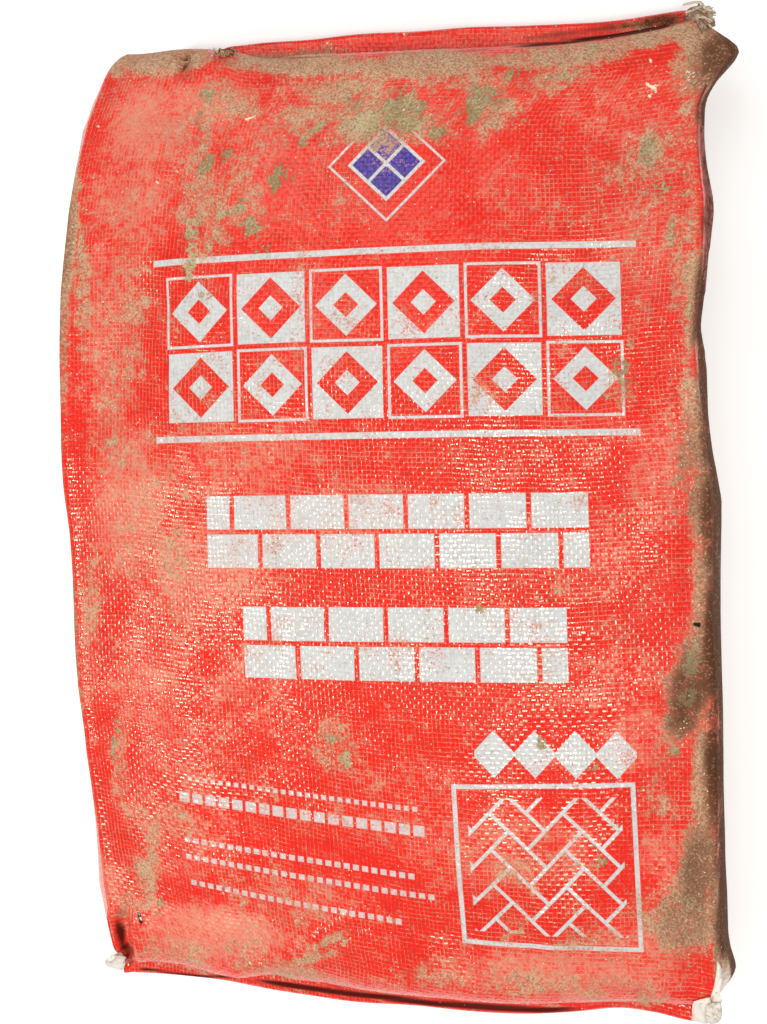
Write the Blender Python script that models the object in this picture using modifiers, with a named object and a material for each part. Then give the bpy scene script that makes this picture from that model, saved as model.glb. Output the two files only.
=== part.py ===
"""A filled sack of tile adhesive, lying on its back on a floor with its printed face up.

The sack is a flattened tube of woven cloth with a gusset down each side. At each end the
gussets tuck in between the panels, and the tube turns under into a sewn hem. Metres, +Z up,
+X across the sack, +Y from the bottom hem to the top hem. The origin is under the middle of
the sack's box, on the floor.
"""

import math

import bmesh
import bpy
import numpy as np

OBJECT_NAME = "tile_adhesive_sack"

# The outline of the filled sack seen from above: where its side is widest at each length,
# and where each end's bulge and each hem's folded edge lie at each width.
LEFT_SIDE = ((-0.285, -0.1845), (-0.195, -0.1975), (-0.095, -0.2045), (0.025, -0.2095),
             (0.105, -0.2125), (0.185, -0.2065), (0.245, -0.1935), (0.295, -0.1745))
RIGHT_SIDE = ((-0.285, 0.2055), (-0.195, 0.1995), (-0.025, 0.2035), (0.095, 0.1955),
              (0.175, 0.2035), (0.225, 0.2055), (0.267, 0.2125), (0.295, 0.2045))
TOP_BULGE = ((-0.17, 0.3035), (-0.12, 0.3025), (-0.08, 0.2975), (0.00, 0.2915),
             (0.12, 0.2885), (0.19, 0.2915))
BOTTOM_BULGE = ((-0.18, -0.2845), (-0.09, -0.2865), (0.00, -0.2935), (0.10, -0.2975),
                (0.19, -0.2925))
TOP_HEM = ((-0.17, 0.3025), (-0.12, 0.3045), (-0.08, 0.3075), (0.00, 0.3065),
           (0.12, 0.3015), (0.19, 0.3025))
BOTTOM_HEM = ((-0.18, -0.2925), (-0.13, -0.2935), (-0.06, -0.3015), (0.04, -0.3065),
              (0.18, -0.3075))
HALF_WIDTH = 0.19
HALF_LENGTH = 0.29

# The filled body's section: the fold between the face and the side, and the face's crown.
FOLD_HEIGHT = 0.072
FOLD_DROP_AT_ENDS = 0.008
CROWN = 0.023
CROWN_DROP_AT_ENDS = 0.004
CROWN_POWER = 2.4
FOLD_INSET = 0.014
SIDE_PATH = 0.075
FLOOR_CORNER = 0.004

# The rounded ends, which overhang the hems, and the gusset that tucks in there. A hem's root
# lies far enough in under the end for the hem to have its least length.
END_RADIUS = 0.045
END_TURN = math.radians(130)
TUCK_SPEED = 1.5
TUCK_POWER = 1.6
WIDTH_LEAD = 0.1
RECESS_START = 0.6
HEM_HEIGHT = 0.042
LEAST_HEM = 0.020
FLAP_INSET = 0.009

# The cloth and its layers in a hem: face, gusset, gusset, back.
CLOTH = 0.0004
HEM_HALF_THICKNESS = 0.0016
GUSSET_HALF_GAP = 0.0003
FOLD_RADIUS = 0.0025
CLEARANCE = 0.0003
NORMAL_SLACK = 0.0001
CAP_WIDTH_SHARE = 0.90
CAP_HEIGHT_SHARE = 0.35

# The closing thread, which the folded hem hides, and how far in it runs from the folded edge.
THREAD_RADIUS = 0.0006
THREAD_INSET = 0.0085
TOP_THREAD = (-0.118, 0.180)
BOTTOM_THREAD = (-0.125, 0.180)
THREAD_POINTS = 16

# How finely the shapes are divided, and how many rows of each end hold no powder.
FACE_POINTS = 15
SIDE_POINTS = 5
FLOOR_POINTS = 11
FLOOR_FLAT_SHARE = 0.955
BODY_ROWS = 13
END_ROWS = 6
UNFILLED_END_ROWS = 5
FOLD_STEPS = 3


def through(knots, at):
    """The value, at each place, of a smooth curve through (place, value) knots."""
    places, values = np.array(knots, float).T
    slopes = np.gradient(values, places)
    at = np.clip(np.asarray(at, float), places[0], places[-1])
    i = np.clip(np.searchsorted(places, at, side="right") - 1, 0, len(places) - 2)
    span = places[i + 1] - places[i]
    t = (at - places[i]) / span
    start = (1 + 2 * t) * (1 - t) ** 2 * values[i] + t * (1 - t) ** 2 * slopes[i] * span
    end = t ** 2 * (3 - 2 * t) * values[i + 1] - t ** 2 * (1 - t) * slopes[i + 1] * span
    return start + end


def floor_shares():
    """Places across the floor panel, right to left, close together at its rounded corners."""
    inner = np.linspace(FLOOR_FLAT_SHARE, -FLOOR_FLAT_SHARE, FLOOR_POINTS - 2)
    return np.concatenate([[1.0], inner, [-1.0]])


def fold_places(length):
    """Where the left and the right fold lines lie at a place along the sack."""
    left = float(through(LEFT_SIDE, length)) + FOLD_INSET
    right = float(through(RIGHT_SIDE, length)) - FOLD_INSET
    return left, right


def across(shares, length):
    left, right = fold_places(length)
    return left + (np.asarray(shares) + 1) / 2 * (right - left)


def side_offsets(steps, chord, tuck):
    """How far out a side stands at each step of its height, for cloth of one fixed width.

    Its chord is the straight way between its two folds. tuck runs from 0, a side that bulges
    out, to 1, a gusset folded fully in between the panels.
    """
    bulge = 2 * chord / math.pi * math.sqrt(max(0.0, SIDE_PATH / chord - 1))
    depth = math.sqrt(max(0.0, SIDE_PATH ** 2 - chord ** 2)) / 2
    outward = (1 - tuck) * bulge * np.sin(math.pi * steps)
    return outward - tuck * depth * (1 - np.abs(2 * steps - 1))


def ring(face, floor, tuck, in_hem):
    """One closed section: the face left to right, the right side, the floor, the left side.

    in_hem sets the gusset's two layers close together, between the panels' layers.
    """
    steps = np.arange(1, SIDE_POINTS + 1) / (SIDE_POINTS + 1)
    layers = HEM_HEIGHT + GUSSET_HALF_GAP * np.sign(np.round(0.5 - steps, 6))
    sides = []
    for start, end, outward in ((face[-1], floor[0], 1), (floor[-1], face[0], -1)):
        side = start + steps[:, None] * (end - start)
        chord = max(np.linalg.norm(end - start), 2 * HEM_HALF_THICKNESS)
        side[:, 0] += outward * side_offsets(steps, chord, tuck)
        if in_hem:
            side[:, 2] = layers if outward > 0 else layers[::-1]
        sides.append(side)
    return np.concatenate([face, sides[0], floor, sides[1]])


def body_height(share, lengthwise):
    """The face's height over the floor, across the sack and along it."""
    fold = FOLD_HEIGHT - FOLD_DROP_AT_ENDS * lengthwise ** 4
    crown = CROWN - CROWN_DROP_AT_ENDS * lengthwise ** 2
    return fold + crown * (1 - np.abs(share) ** CROWN_POWER)


def floor_height(shares):
    return np.where(np.abs(shares) > FLOOR_FLAT_SHARE, FLOOR_CORNER, 0.0)


def end_start(shares, end):
    """Where the straight body ends and the rounded end begins; end is 1 at the top, -1 below."""
    edge = TOP_BULGE if end > 0 else BOTTOM_BULGE
    return through(edge, np.asarray(shares) * HALF_WIDTH) - end * END_RADIUS


def body_rows():
    face_shares = np.linspace(-1, 1, FACE_POINTS)
    rows = []
    for lengthwise in np.linspace(-1, 1, BODY_ROWS):
        parts = []
        for shares, heights in (
            (face_shares, body_height(face_shares, lengthwise)),
            (floor_shares(), floor_height(floor_shares())),
        ):
            low, high = end_start(shares, -1), end_start(shares, 1)
            lengths = low + (lengthwise + 1) / 2 * (high - low)
            x = across(shares, lengthwise * (HALF_LENGTH - END_RADIUS))
            parts.append(np.stack([x, lengths, heights], axis=1))
        rows.append(ring(parts[0], parts[1], 0.0, False))
    return rows


def extra_recess(shares, end):
    """How much deeper than the plain round end a hem's root lies, at each place across."""
    x = np.asarray(shares) * HALF_WIDTH
    bulge, hem = (TOP_BULGE, TOP_HEM) if end > 0 else (BOTTOM_BULGE, BOTTOM_HEM)
    overhang = END_RADIUS * (1 - math.sin(END_TURN))
    hem_length = end * (through(hem, x) - through(bulge, x)) + overhang
    return np.maximum(0.0, LEAST_HEM - hem_length)


def end_rows(end):
    """The rounded end: the face rolls over and back under, and the floor the same way up."""
    face_shares = np.linspace(-1, 1, FACE_POINTS)
    face_start = body_height(face_shares, 1.0)
    floor_start = floor_height(floor_shares())
    rows = []
    for k in range(1, END_ROWS + 1):
        turn = END_TURN * k / END_ROWS
        recessed = max(0.0, k / END_ROWS - RECESS_START) / (1 - RECESS_START)
        left_to_go = (math.cos(turn) - math.cos(END_TURN)) / (1 - math.cos(END_TURN))
        beyond = END_RADIUS * min(1.0, math.sin(turn) + WIDTH_LEAD)
        place = end * (HALF_LENGTH - END_RADIUS + beyond)
        panels = []
        for shares, start, layer in (
            (face_shares, face_start, HEM_HEIGHT + HEM_HALF_THICKNESS),
            (floor_shares(), floor_start, HEM_HEIGHT - HEM_HALF_THICKNESS),
        ):
            heights = layer + (start - layer) * left_to_go
            lengths = end_start(shares, end) + end * END_RADIUS * math.sin(turn)
            lengths -= end * extra_recess(shares, end) * recessed
            panels.append(np.stack([across(shares, place), lengths, heights], axis=1))
        tuck = min(1.0, TUCK_SPEED * (k / END_ROWS) ** TUCK_POWER)
        rows.append(ring(panels[0], panels[1], tuck, k == END_ROWS))
    return rows


def hem_rows(root, end):
    """The hem: out from the root ring, round the fold and back underneath."""
    shares = np.clip(root[:, 0] / HALF_WIDTH, -1, 1)
    edge = through(TOP_HEM if end > 0 else BOTTOM_HEM, shares * HALF_WIDTH)
    offset = root[:, 2] - HEM_HEIGHT
    bend = edge - end * (FOLD_RADIUS + HEM_HALF_THICKNESS)
    stations = [((root[:, 1] + bend) / 2, 0.0)]
    stations += [(bend, math.pi * k / FOLD_STEPS) for k in range(FOLD_STEPS + 1)]
    stations.append((root[:, 1] + end * FLAP_INSET, math.pi))
    rows = []
    for centre, turn in stations:
        row = root.copy()
        reach = FOLD_RADIUS + offset
        row[:, 1] = centre + end * reach * math.sin(turn)
        row[:, 2] = HEM_HEIGHT - FOLD_RADIUS + reach * math.cos(turn)
        rows.append(row)
    return rows


def sack_surface():
    """Every section of the sack, from the end of the bottom hem to the end of the top hem."""
    body = body_rows()
    top = end_rows(1)
    bottom = end_rows(-1)
    top_hem = hem_rows(top[-1], 1)
    bottom_hem = hem_rows(bottom[-1], -1)
    rows = bottom_hem[::-1] + bottom[::-1] + body + top + top_hem
    return np.array(rows), len(bottom_hem)


def middle_of(surface):
    """The point on the floor under the middle of the surface's box."""
    points = surface.reshape(-1, 3)
    middle = (points.min(axis=0) + points.max(axis=0)) / 2
    return np.array([middle[0], middle[1], 0.0])


def outward_normals(rows):
    around = np.roll(rows, -1, axis=1) - np.roll(rows, 1, axis=1)
    along = np.gradient(rows, axis=0)
    normals = np.cross(around, along)
    return normals / np.linalg.norm(normals, axis=2, keepdims=True)


def material(name, colour, roughness):
    made = bpy.data.materials.new(name)
    made.use_nodes = True
    shader = made.node_tree.nodes["Principled BSDF"]
    shader.inputs["Base Color"].default_value = (*colour, 1.0)
    shader.inputs["Roughness"].default_value = roughness
    shader.inputs["Metallic"].default_value = 0.0
    return made


def loft(name, rows, closed_ends, collection):
    """A mesh object through sections with the same number of points, its faces pointing out."""
    count, points, _ = rows.shape
    shape = bmesh.new()
    verts = [[shape.verts.new(p) for p in row] for row in rows]
    for r in range(count - 1):
        for i in range(points):
            j = (i + 1) % points
            shape.faces.new((verts[r][i], verts[r][j], verts[r + 1][j], verts[r + 1][i]))
    if closed_ends:
        for end_row, order in ((0, -1), (-1, 1)):
            centre = shape.verts.new(rows[end_row].mean(axis=0))
            for i in range(points):
                pair = (verts[end_row][i], verts[end_row][(i + 1) % points])
                shape.faces.new((*pair[::order], centre))
    mesh = bpy.data.meshes.new(name)
    shape.to_mesh(mesh)
    shape.free()
    mesh.shade_smooth()
    made = bpy.data.objects.new(name, mesh)
    collection.objects.link(made)
    return made


def add_sack(rows, collection):
    """The cloth tube: its outside is the lofted surface, and its thickness lies inside that."""
    sack = loft("woven_sack", rows, False, collection)
    wall = sack.modifiers.new("cloth", "SOLIDIFY")
    wall.thickness = CLOTH
    wall.offset = -1.0
    sack.data.materials.append(material("printed_cloth", (0.72, 0.06, 0.04), 0.45))


def drawn_in(section):
    """A section made thinner and narrower, to close the powder at an end of the sack."""
    floor = section[FACE_POINTS + SIDE_POINTS:FACE_POINTS + SIDE_POINTS + FLOOR_POINTS][::-1]
    middle = section.mean(axis=0)
    thin = middle + (section - middle) * np.array([CAP_WIDTH_SHARE, 1.0, CAP_HEIGHT_SHARE])
    thin[:, 1] = np.interp(thin[:, 0], floor[:, 0], floor[:, 1])
    return thin[None]


def add_fill(rows, hem_count, collection):
    """The powder: the sack's own shape, set in from the cloth by a small clearance."""
    inner = rows - outward_normals(rows) * (CLOTH + CLEARANCE + NORMAL_SLACK)
    unfilled = hem_count + UNFILLED_END_ROWS
    kept = inner[unfilled:len(rows) - unfilled]
    closed = np.concatenate([drawn_in(kept[0]), kept, drawn_in(kept[-1])])
    fill = loft("adhesive_fill", closed, True, collection)
    fill.data.materials.append(material("grey_powder", (0.42, 0.41, 0.39), 0.95))


def add_thread(name, x_range, hem, end, middle, collection):
    """A thread along a hem's stitch line, between the hem's upper layers and its flap."""
    x = np.linspace(*x_range, THREAD_POINTS)
    y = through(hem, x) - end * THREAD_INSET
    z = np.full(THREAD_POINTS, HEM_HEIGHT - FOLD_RADIUS)
    curve = bpy.data.curves.new(name, "CURVE")
    curve.dimensions = "3D"
    curve.bevel_depth = THREAD_RADIUS
    curve.bevel_resolution = 2
    curve.use_fill_caps = True
    line = curve.splines.new("POLY")
    line.points.add(THREAD_POINTS - 1)
    for point, place in zip(line.points, np.stack([x, y, z], axis=1) - middle):
        point.co = (*place, 1.0)
    curve.materials.append(material(name + "_cotton", (0.80, 0.76, 0.68), 0.9))
    collection.objects.link(bpy.data.objects.new(name, curve))


def main():
    for obj in list(bpy.data.objects):
        bpy.data.objects.remove(obj)
    collection = bpy.data.collections.new(OBJECT_NAME)
    bpy.context.scene.collection.children.link(collection)
    rows, hem_count = sack_surface()
    middle = middle_of(rows)
    rows = rows - middle
    add_sack(rows, collection)
    add_fill(rows, hem_count, collection)
    add_thread("top_closing_thread", TOP_THREAD, TOP_HEM, 1, middle, collection)
    add_thread("bottom_closing_thread", BOTTOM_THREAD, BOTTOM_HEM, -1, middle, collection)


main()
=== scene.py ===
"""The looks of the sack of tile adhesive: printed woven cloth, hems, frayed corners, dust and mud."""

import math
from functools import partial

import bpy
import numpy as np
from mathutils import Matrix, Vector


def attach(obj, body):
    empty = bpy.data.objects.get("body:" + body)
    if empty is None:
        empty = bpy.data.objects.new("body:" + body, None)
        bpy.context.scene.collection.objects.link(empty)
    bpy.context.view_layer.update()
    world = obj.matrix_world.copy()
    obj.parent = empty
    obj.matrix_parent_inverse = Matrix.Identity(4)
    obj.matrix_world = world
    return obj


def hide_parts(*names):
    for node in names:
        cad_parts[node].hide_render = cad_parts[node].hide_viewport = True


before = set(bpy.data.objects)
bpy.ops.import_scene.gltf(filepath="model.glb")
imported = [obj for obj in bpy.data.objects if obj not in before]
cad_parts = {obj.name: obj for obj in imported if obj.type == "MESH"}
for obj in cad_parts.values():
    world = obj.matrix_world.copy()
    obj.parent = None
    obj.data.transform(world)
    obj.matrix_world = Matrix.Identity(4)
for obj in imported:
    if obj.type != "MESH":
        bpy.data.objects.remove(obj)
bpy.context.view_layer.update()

# Camera, and where the photograph's pixels fall
IMAGE_WIDTH, IMAGE_HEIGHT = 767, 1024
FOCAL_PIXELS = 1250.0
SENSOR_MM = 36.0
CAMERA_TURN = math.radians(10.5)
CAMERA_ROLL = math.radians(-1.5)
CAMERA_DISTANCE = 0.769
TARGET = np.array([0.0007, 0.0045, 0.06])

# The sack's outline, section and hems, as the CAD has them, with the ends drawn to the photograph
MIDDLE = np.array([0.00131, 0.00022, 0.0])
LEFT_SIDE = ((-0.285, -0.1845), (-0.195, -0.1975), (-0.095, -0.2045), (0.025, -0.2095),
             (0.105, -0.2125), (0.185, -0.2065), (0.245, -0.1935), (0.295, -0.1745))
RIGHT_SIDE = ((-0.285, 0.2055), (-0.195, 0.1995), (-0.025, 0.2035), (0.095, 0.1955),
              (0.175, 0.2035), (0.225, 0.2055), (0.267, 0.2125), (0.295, 0.2045))
TOP_BULGE = ((-0.17, 0.3030), (-0.148, 0.3023), (-0.123, 0.2990), (-0.108, 0.2955),
             (-0.092, 0.2908), (-0.065, 0.2893), (-0.033, 0.2876), (0.018, 0.2859),
             (0.088, 0.2838), (0.118, 0.2826), (0.159, 0.2866), (0.19, 0.2915))
BOTTOM_BULGE = ((-0.18, -0.2810), (-0.151, -0.2813), (-0.122, -0.2850), (-0.104, -0.2854),
                (-0.086, -0.2833), (-0.058, -0.2857), (-0.023, -0.2897), (0.036, -0.2924),
                (0.091, -0.2934), (0.158, -0.2918), (0.19, -0.2940))
TOP_HEM = ((-0.17, 0.2985), (-0.125, 0.2995), (-0.108, 0.3010), (-0.097, 0.3064),
           (-0.085, 0.3076), (-0.033, 0.3070),
           (0.018, 0.3060), (0.088, 0.3035), (0.159, 0.3000), (0.19, 0.3030))
BOTTOM_HEM = ((-0.18, -0.2935), (-0.145, -0.2942), (-0.113, -0.2957), (-0.06, -0.3030),
              (0.036, -0.3075), (0.091, -0.3075), (0.112, -0.3060), (0.143, -0.3018),
              (0.158, -0.3030), (0.18, -0.3078), (0.193, -0.3088))
HALF_WIDTH, HALF_LENGTH = 0.19, 0.29
FOLD_HEIGHT, FOLD_DROP = 0.072, 0.008
CROWN, CROWN_DROP, CROWN_POWER = 0.023, 0.004, 2.4
FOLD_INSET = 0.014
SIDE_PATH = 0.075
END_RADIUS = 0.045
END_TURN = math.radians(130)
HEM_HEIGHT = 0.042
HEM_HALF = 0.0011
FOLD_RADIUS = 0.0022
LEAST_HEM = 0.020
RECESS_START = 0.6
WIDTH_LEAD = 0.1
TUCK_POWER, TUCK_SPEED = 1.6, 1.5
BACK_HEIGHT = 0.001

# Where the middle of the print lies
PRINT_X, PRINT_Y = 0.0020, 0.0047

# The simulated grid
CELL = 0.0065
FACE_N = round(0.39 / CELL)
SIDE_N = round(0.076 / CELL / 2) * 2
BODY_N = round(0.49 / CELL)
END_N = round(0.096 / CELL)
EASE = 1.003
FRAMES = 36
# The lid over it: its clearance, where its crown ends across the sack in metres and along it in
# half lengths of the body, its half size and its grid
LID_GAP, LID_EDGE, LID_END = 0.002, 0.197, 1.15
LID_HALF_WIDTH, LID_HALF_LENGTH = 0.26, 0.36
LID_COLUMNS, LID_ROWS = 41, 61

# The cloth's tapes: how wide they lie across the sack, and along it; the panel's width in cloth
TAPE = 0.00254
COURSE = 0.00278
PANEL_CLOTH = 0.392

# Where the photograph shows the outline and the right fold: (down the picture, across it) in pixels
LEFT_EDGE = ((20, 128), (52, 122), (58, 117), (90, 99), (130, 82), (170, 75), (210, 69), (250, 64),
             (290, 60), (370, 60), (450, 62), (490, 64), (530, 68), (610, 73), (650, 75), (690, 78),
             (729, 84), (778, 90), (827, 94), (883, 98), (910, 104), (949, 117), (966, 124),
             (1000, 126))
RIGHT_EDGE = ((14, 696), (26, 711), (40, 724), (53, 738), (66, 728), (84, 711), (100, 702),
              (140, 701), (170, 705), (200, 712), (215, 713), (250, 708), (290, 704), (330, 699),
              (350, 703), (370, 706), (410, 707), (450, 711), (480, 717), (500, 721), (620, 720),
              (700, 721), (800, 722), (860, 724), (890, 726), (930, 727), (950, 731), (966, 737),
              (985, 727), (1010, 714), (1024, 712))
RIGHT_FOLD = ((14, 694), (26, 704), (40, 716), (53, 727), (66, 720), (84, 707), (100, 698),
              (140, 697), (170, 700), (200, 703), (250, 702), (290, 698), (330, 693), (385, 696),
              (430, 701), (500, 709), (560, 710), (620, 712), (700, 715), (800, 716), (940, 716),
              (985, 716), (1005, 709), (1024, 700))
# Where each hem's two ends are, across the picture
TOP_HEM_ENDS, BOTTOM_HEM_ENDS = (132, 693), (122, 702)
# The most that the fit moves a point, and the share of a side's move that the back takes
MOST_MOVED = 0.030
BACK_SHARE = 0.8


def through(knots, at):
    """The value, at each place, of a smooth curve through (place, value) knots."""
    places, values = np.array(knots, float).T
    slopes = np.gradient(values, places)
    at = np.clip(np.asarray(at, float), places[0], places[-1])
    i = np.clip(np.searchsorted(places, at, side="right") - 1, 0, len(places) - 2)
    span = places[i + 1] - places[i]
    t = (at - places[i]) / span
    start = (1 + 2 * t) * (1 - t) ** 2 * values[i] + t * (1 - t) ** 2 * slopes[i] * span
    end = t ** 2 * (3 - 2 * t) * values[i + 1] - t ** 2 * (1 - t) * slopes[i + 1] * span
    return start + end


def smooth(low, high, value):
    t = np.clip((value - low) / (high - low), 0, 1)
    return t * t * (3 - 2 * t)


# The camera


def camera_axes():
    away = np.array([math.sin(CAMERA_TURN), 0.0, math.cos(CAMERA_TURN)])
    forward = -away
    right = np.cross(forward, (0.0, 1.0, 0.0))
    right /= np.linalg.norm(right)
    up = np.cross(right, forward)
    c, s = math.cos(CAMERA_ROLL), math.sin(CAMERA_ROLL)
    return forward, right * c + up * s, up * c - right * s, TARGET + CAMERA_DISTANCE * away


FORWARD, RIGHT, UP, EYE = camera_axes()


def to_pixels(points):
    """Where points in the row frame fall in the photograph."""
    rel = points - EYE
    deep = rel @ FORWARD
    return np.stack([IMAGE_WIDTH / 2 + FOCAL_PIXELS * (rel @ RIGHT) / deep,
                     IMAGE_HEIGHT / 2 - FOCAL_PIXELS * (rel @ UP) / deep], axis=-1)


def from_pixel(px, py, height):
    """The point at a height over the floor that the photograph shows at a pixel."""
    ray = (FORWARD + RIGHT * ((px - IMAGE_WIDTH / 2) / FOCAL_PIXELS)
           + UP * ((IMAGE_HEIGHT / 2 - py) / FOCAL_PIXELS))
    return EYE + ray * ((height - EYE[2]) / ray[2])


def add_camera():
    """The camera that sees the sack as the photograph does."""
    data = bpy.data.cameras.new("camera")
    data.lens = FOCAL_PIXELS / IMAGE_HEIGHT * SENSOR_MM
    data.sensor_width = SENSOR_MM
    data.clip_start, data.clip_end = 0.05, 20.0
    made = bpy.data.objects.new("camera", data)
    axes = Matrix([[*v] for v in (RIGHT, UP, -FORWARD)]).transposed()
    made.matrix_world = Matrix.Translation(Vector(EYE)) @ axes.to_4x4()
    bpy.context.scene.collection.objects.link(made)
    bpy.context.scene.camera = made


# The sack's shape


def across(shares, length):
    left = float(through(LEFT_SIDE, length)) + FOLD_INSET
    right = float(through(RIGHT_SIDE, length)) - FOLD_INSET
    return left + (shares + 1) / 2 * (right - left)


def side_offsets(steps, chord, tuck):
    bulge = 2 * chord / math.pi * math.sqrt(max(0.0, SIDE_PATH / chord - 1))
    depth = math.sqrt(max(0.0, SIDE_PATH ** 2 - chord ** 2)) / 2
    return (1 - tuck) * bulge * np.sin(math.pi * steps) - tuck * depth * (1 - np.abs(2 * steps - 1))


def ring(face, back, tuck):
    """One closed section: the face left to right, the right side, the back, the left side."""
    steps = np.arange(1, SIDE_N) / SIDE_N
    sides = []
    for start, end, outward in ((face[-1], back[-1], 1), (back[0], face[0], -1)):
        side = start + steps[:, None] * (end - start)
        side[:, 0] += outward * side_offsets(steps, np.linalg.norm(end - start), tuck)
        sides.append(side)
    return np.concatenate([face, sides[0], back[::-1], sides[1]])


def body_ring(shares, lengthwise, low, high):
    fold = FOLD_HEIGHT - FOLD_DROP * lengthwise ** 4
    crown = CROWN - CROWN_DROP * lengthwise ** 2
    height = fold + crown * (1 - np.abs(shares) ** CROWN_POWER)
    x = across(shares, lengthwise * (HALF_LENGTH - END_RADIUS))
    y = low + (lengthwise + 1) / 2 * (high - low)
    return ring(np.stack([x, y, height], 1), np.stack([x, y, 0 * x + BACK_HEIGHT], 1), 0.0)


def end_ring(shares, end, step, base):
    turn = END_TURN * step
    start = FOLD_HEIGHT - FOLD_DROP + (CROWN - CROWN_DROP) * (1 - np.abs(shares) ** CROWN_POWER)
    to_go = (math.cos(turn) - math.cos(END_TURN)) / (1 - math.cos(END_TURN))
    place = end * (HALF_LENGTH - END_RADIUS + END_RADIUS * min(1.0, math.sin(turn) + WIDTH_LEAD))
    x = across(shares, place)
    bulge, hem = (TOP_BULGE, TOP_HEM) if end > 0 else (BOTTOM_BULGE, BOTTOM_HEM)
    wide = shares * HALF_WIDTH
    hem_length = end * (through(hem, wide) - through(bulge, wide))
    hem_length = hem_length + END_RADIUS * (1 - math.sin(END_TURN))
    recess = np.maximum(0.0, LEAST_HEM - hem_length)
    recess = recess * max(0.0, step - RECESS_START) / (1 - RECESS_START)
    y = base + end * END_RADIUS * math.sin(turn) - end * recess
    top, under = HEM_HEIGHT + HEM_HALF, HEM_HEIGHT - HEM_HALF
    face = np.stack([x, y, top + (start - top) * to_go], 1)
    back = np.stack([x, y, 0 * x + under * (1 - to_go) + BACK_HEIGHT * to_go], 1)
    return ring(face, back, min(1.0, TUCK_SPEED * step ** TUCK_POWER))


def sack_rings():
    shares = np.linspace(-1, 1, FACE_N + 1)
    low = through(BOTTOM_BULGE, shares * HALF_WIDTH) + END_RADIUS
    high = through(TOP_BULGE, shares * HALF_WIDTH) - END_RADIUS
    rows = [end_ring(shares, -1, s, low) for s in np.linspace(1, 0, END_N + 1)[:-1]]
    rows += [body_ring(shares, b, low, high) for b in np.linspace(-1, 1, BODY_N + 1)]
    rows += [end_ring(shares, 1, s, high) for s in np.linspace(0, 1, END_N + 1)[1:]]
    return np.array(rows) - MIDDLE


def rest_tube(rings):
    """The cloth laid out as a plain square tube, as wide and long at each row as it has to be."""
    step = np.linalg.norm(np.diff(rings, axis=0), axis=2)
    back = slice(FACE_N + SIDE_N, 2 * FACE_N + SIDE_N)
    longer = np.maximum(step[:, 3:FACE_N - 2].mean(axis=1),
                        step[:, FACE_N + SIDE_N + 3:2 * FACE_N + SIDE_N - 2].mean(axis=1)) * EASE
    y = np.concatenate([[0], np.cumsum(longer)])
    y -= y[-1] / 2
    around = np.linalg.norm(np.roll(rings, -1, axis=1) - rings, axis=2)
    width = np.maximum(around[:, :FACE_N].sum(axis=1), around[:, back].sum(axis=1)) * EASE
    steps = np.arange(1, SIDE_N) / SIDE_N
    rest = np.zeros_like(rings)
    for j, w in enumerate(width):
        x = np.linspace(-w / 2, w / 2, FACE_N + 1) + rings[j, FACE_N // 2, 0]
        right, left = 0 * steps + x[-1], 0 * steps + x[0]
        rest[j, :, 0] = np.concatenate([x, right, x[::-1], left])
        rest[j, :, 2] = np.concatenate([0 * x + SIDE_PATH, SIDE_PATH * (1 - steps), 0 * x,
                                        SIDE_PATH * steps])
    rest[:, :, 1] = y[:, None]
    return rest


def mesh_object(name, points, faces):
    mesh = bpy.data.meshes.new(name)
    mesh.from_pydata(np.asarray(points, float).tolist(), [], [list(map(int, f)) for f in faces])
    mesh.update()
    made = bpy.data.objects.new(name, mesh)
    bpy.context.scene.collection.objects.link(made)
    return made


def grid_faces(rows, columns, closed):
    index = np.arange(rows * columns).reshape(rows, columns)
    last = columns if closed else columns - 1
    a, b = index[:, :last], np.roll(index, -1, axis=1)[:, :last]
    return np.stack([a[:-1], b[:-1], b[1:], a[1:]], axis=2).reshape(-1, 4)


def collider(name, points, faces):
    made = mesh_object(name, points, faces)
    made.modifiers.new("hit", "COLLISION")
    made.collision.thickness_outer = 0.001
    made.collision.cloth_friction = 2.0
    return made


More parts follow.
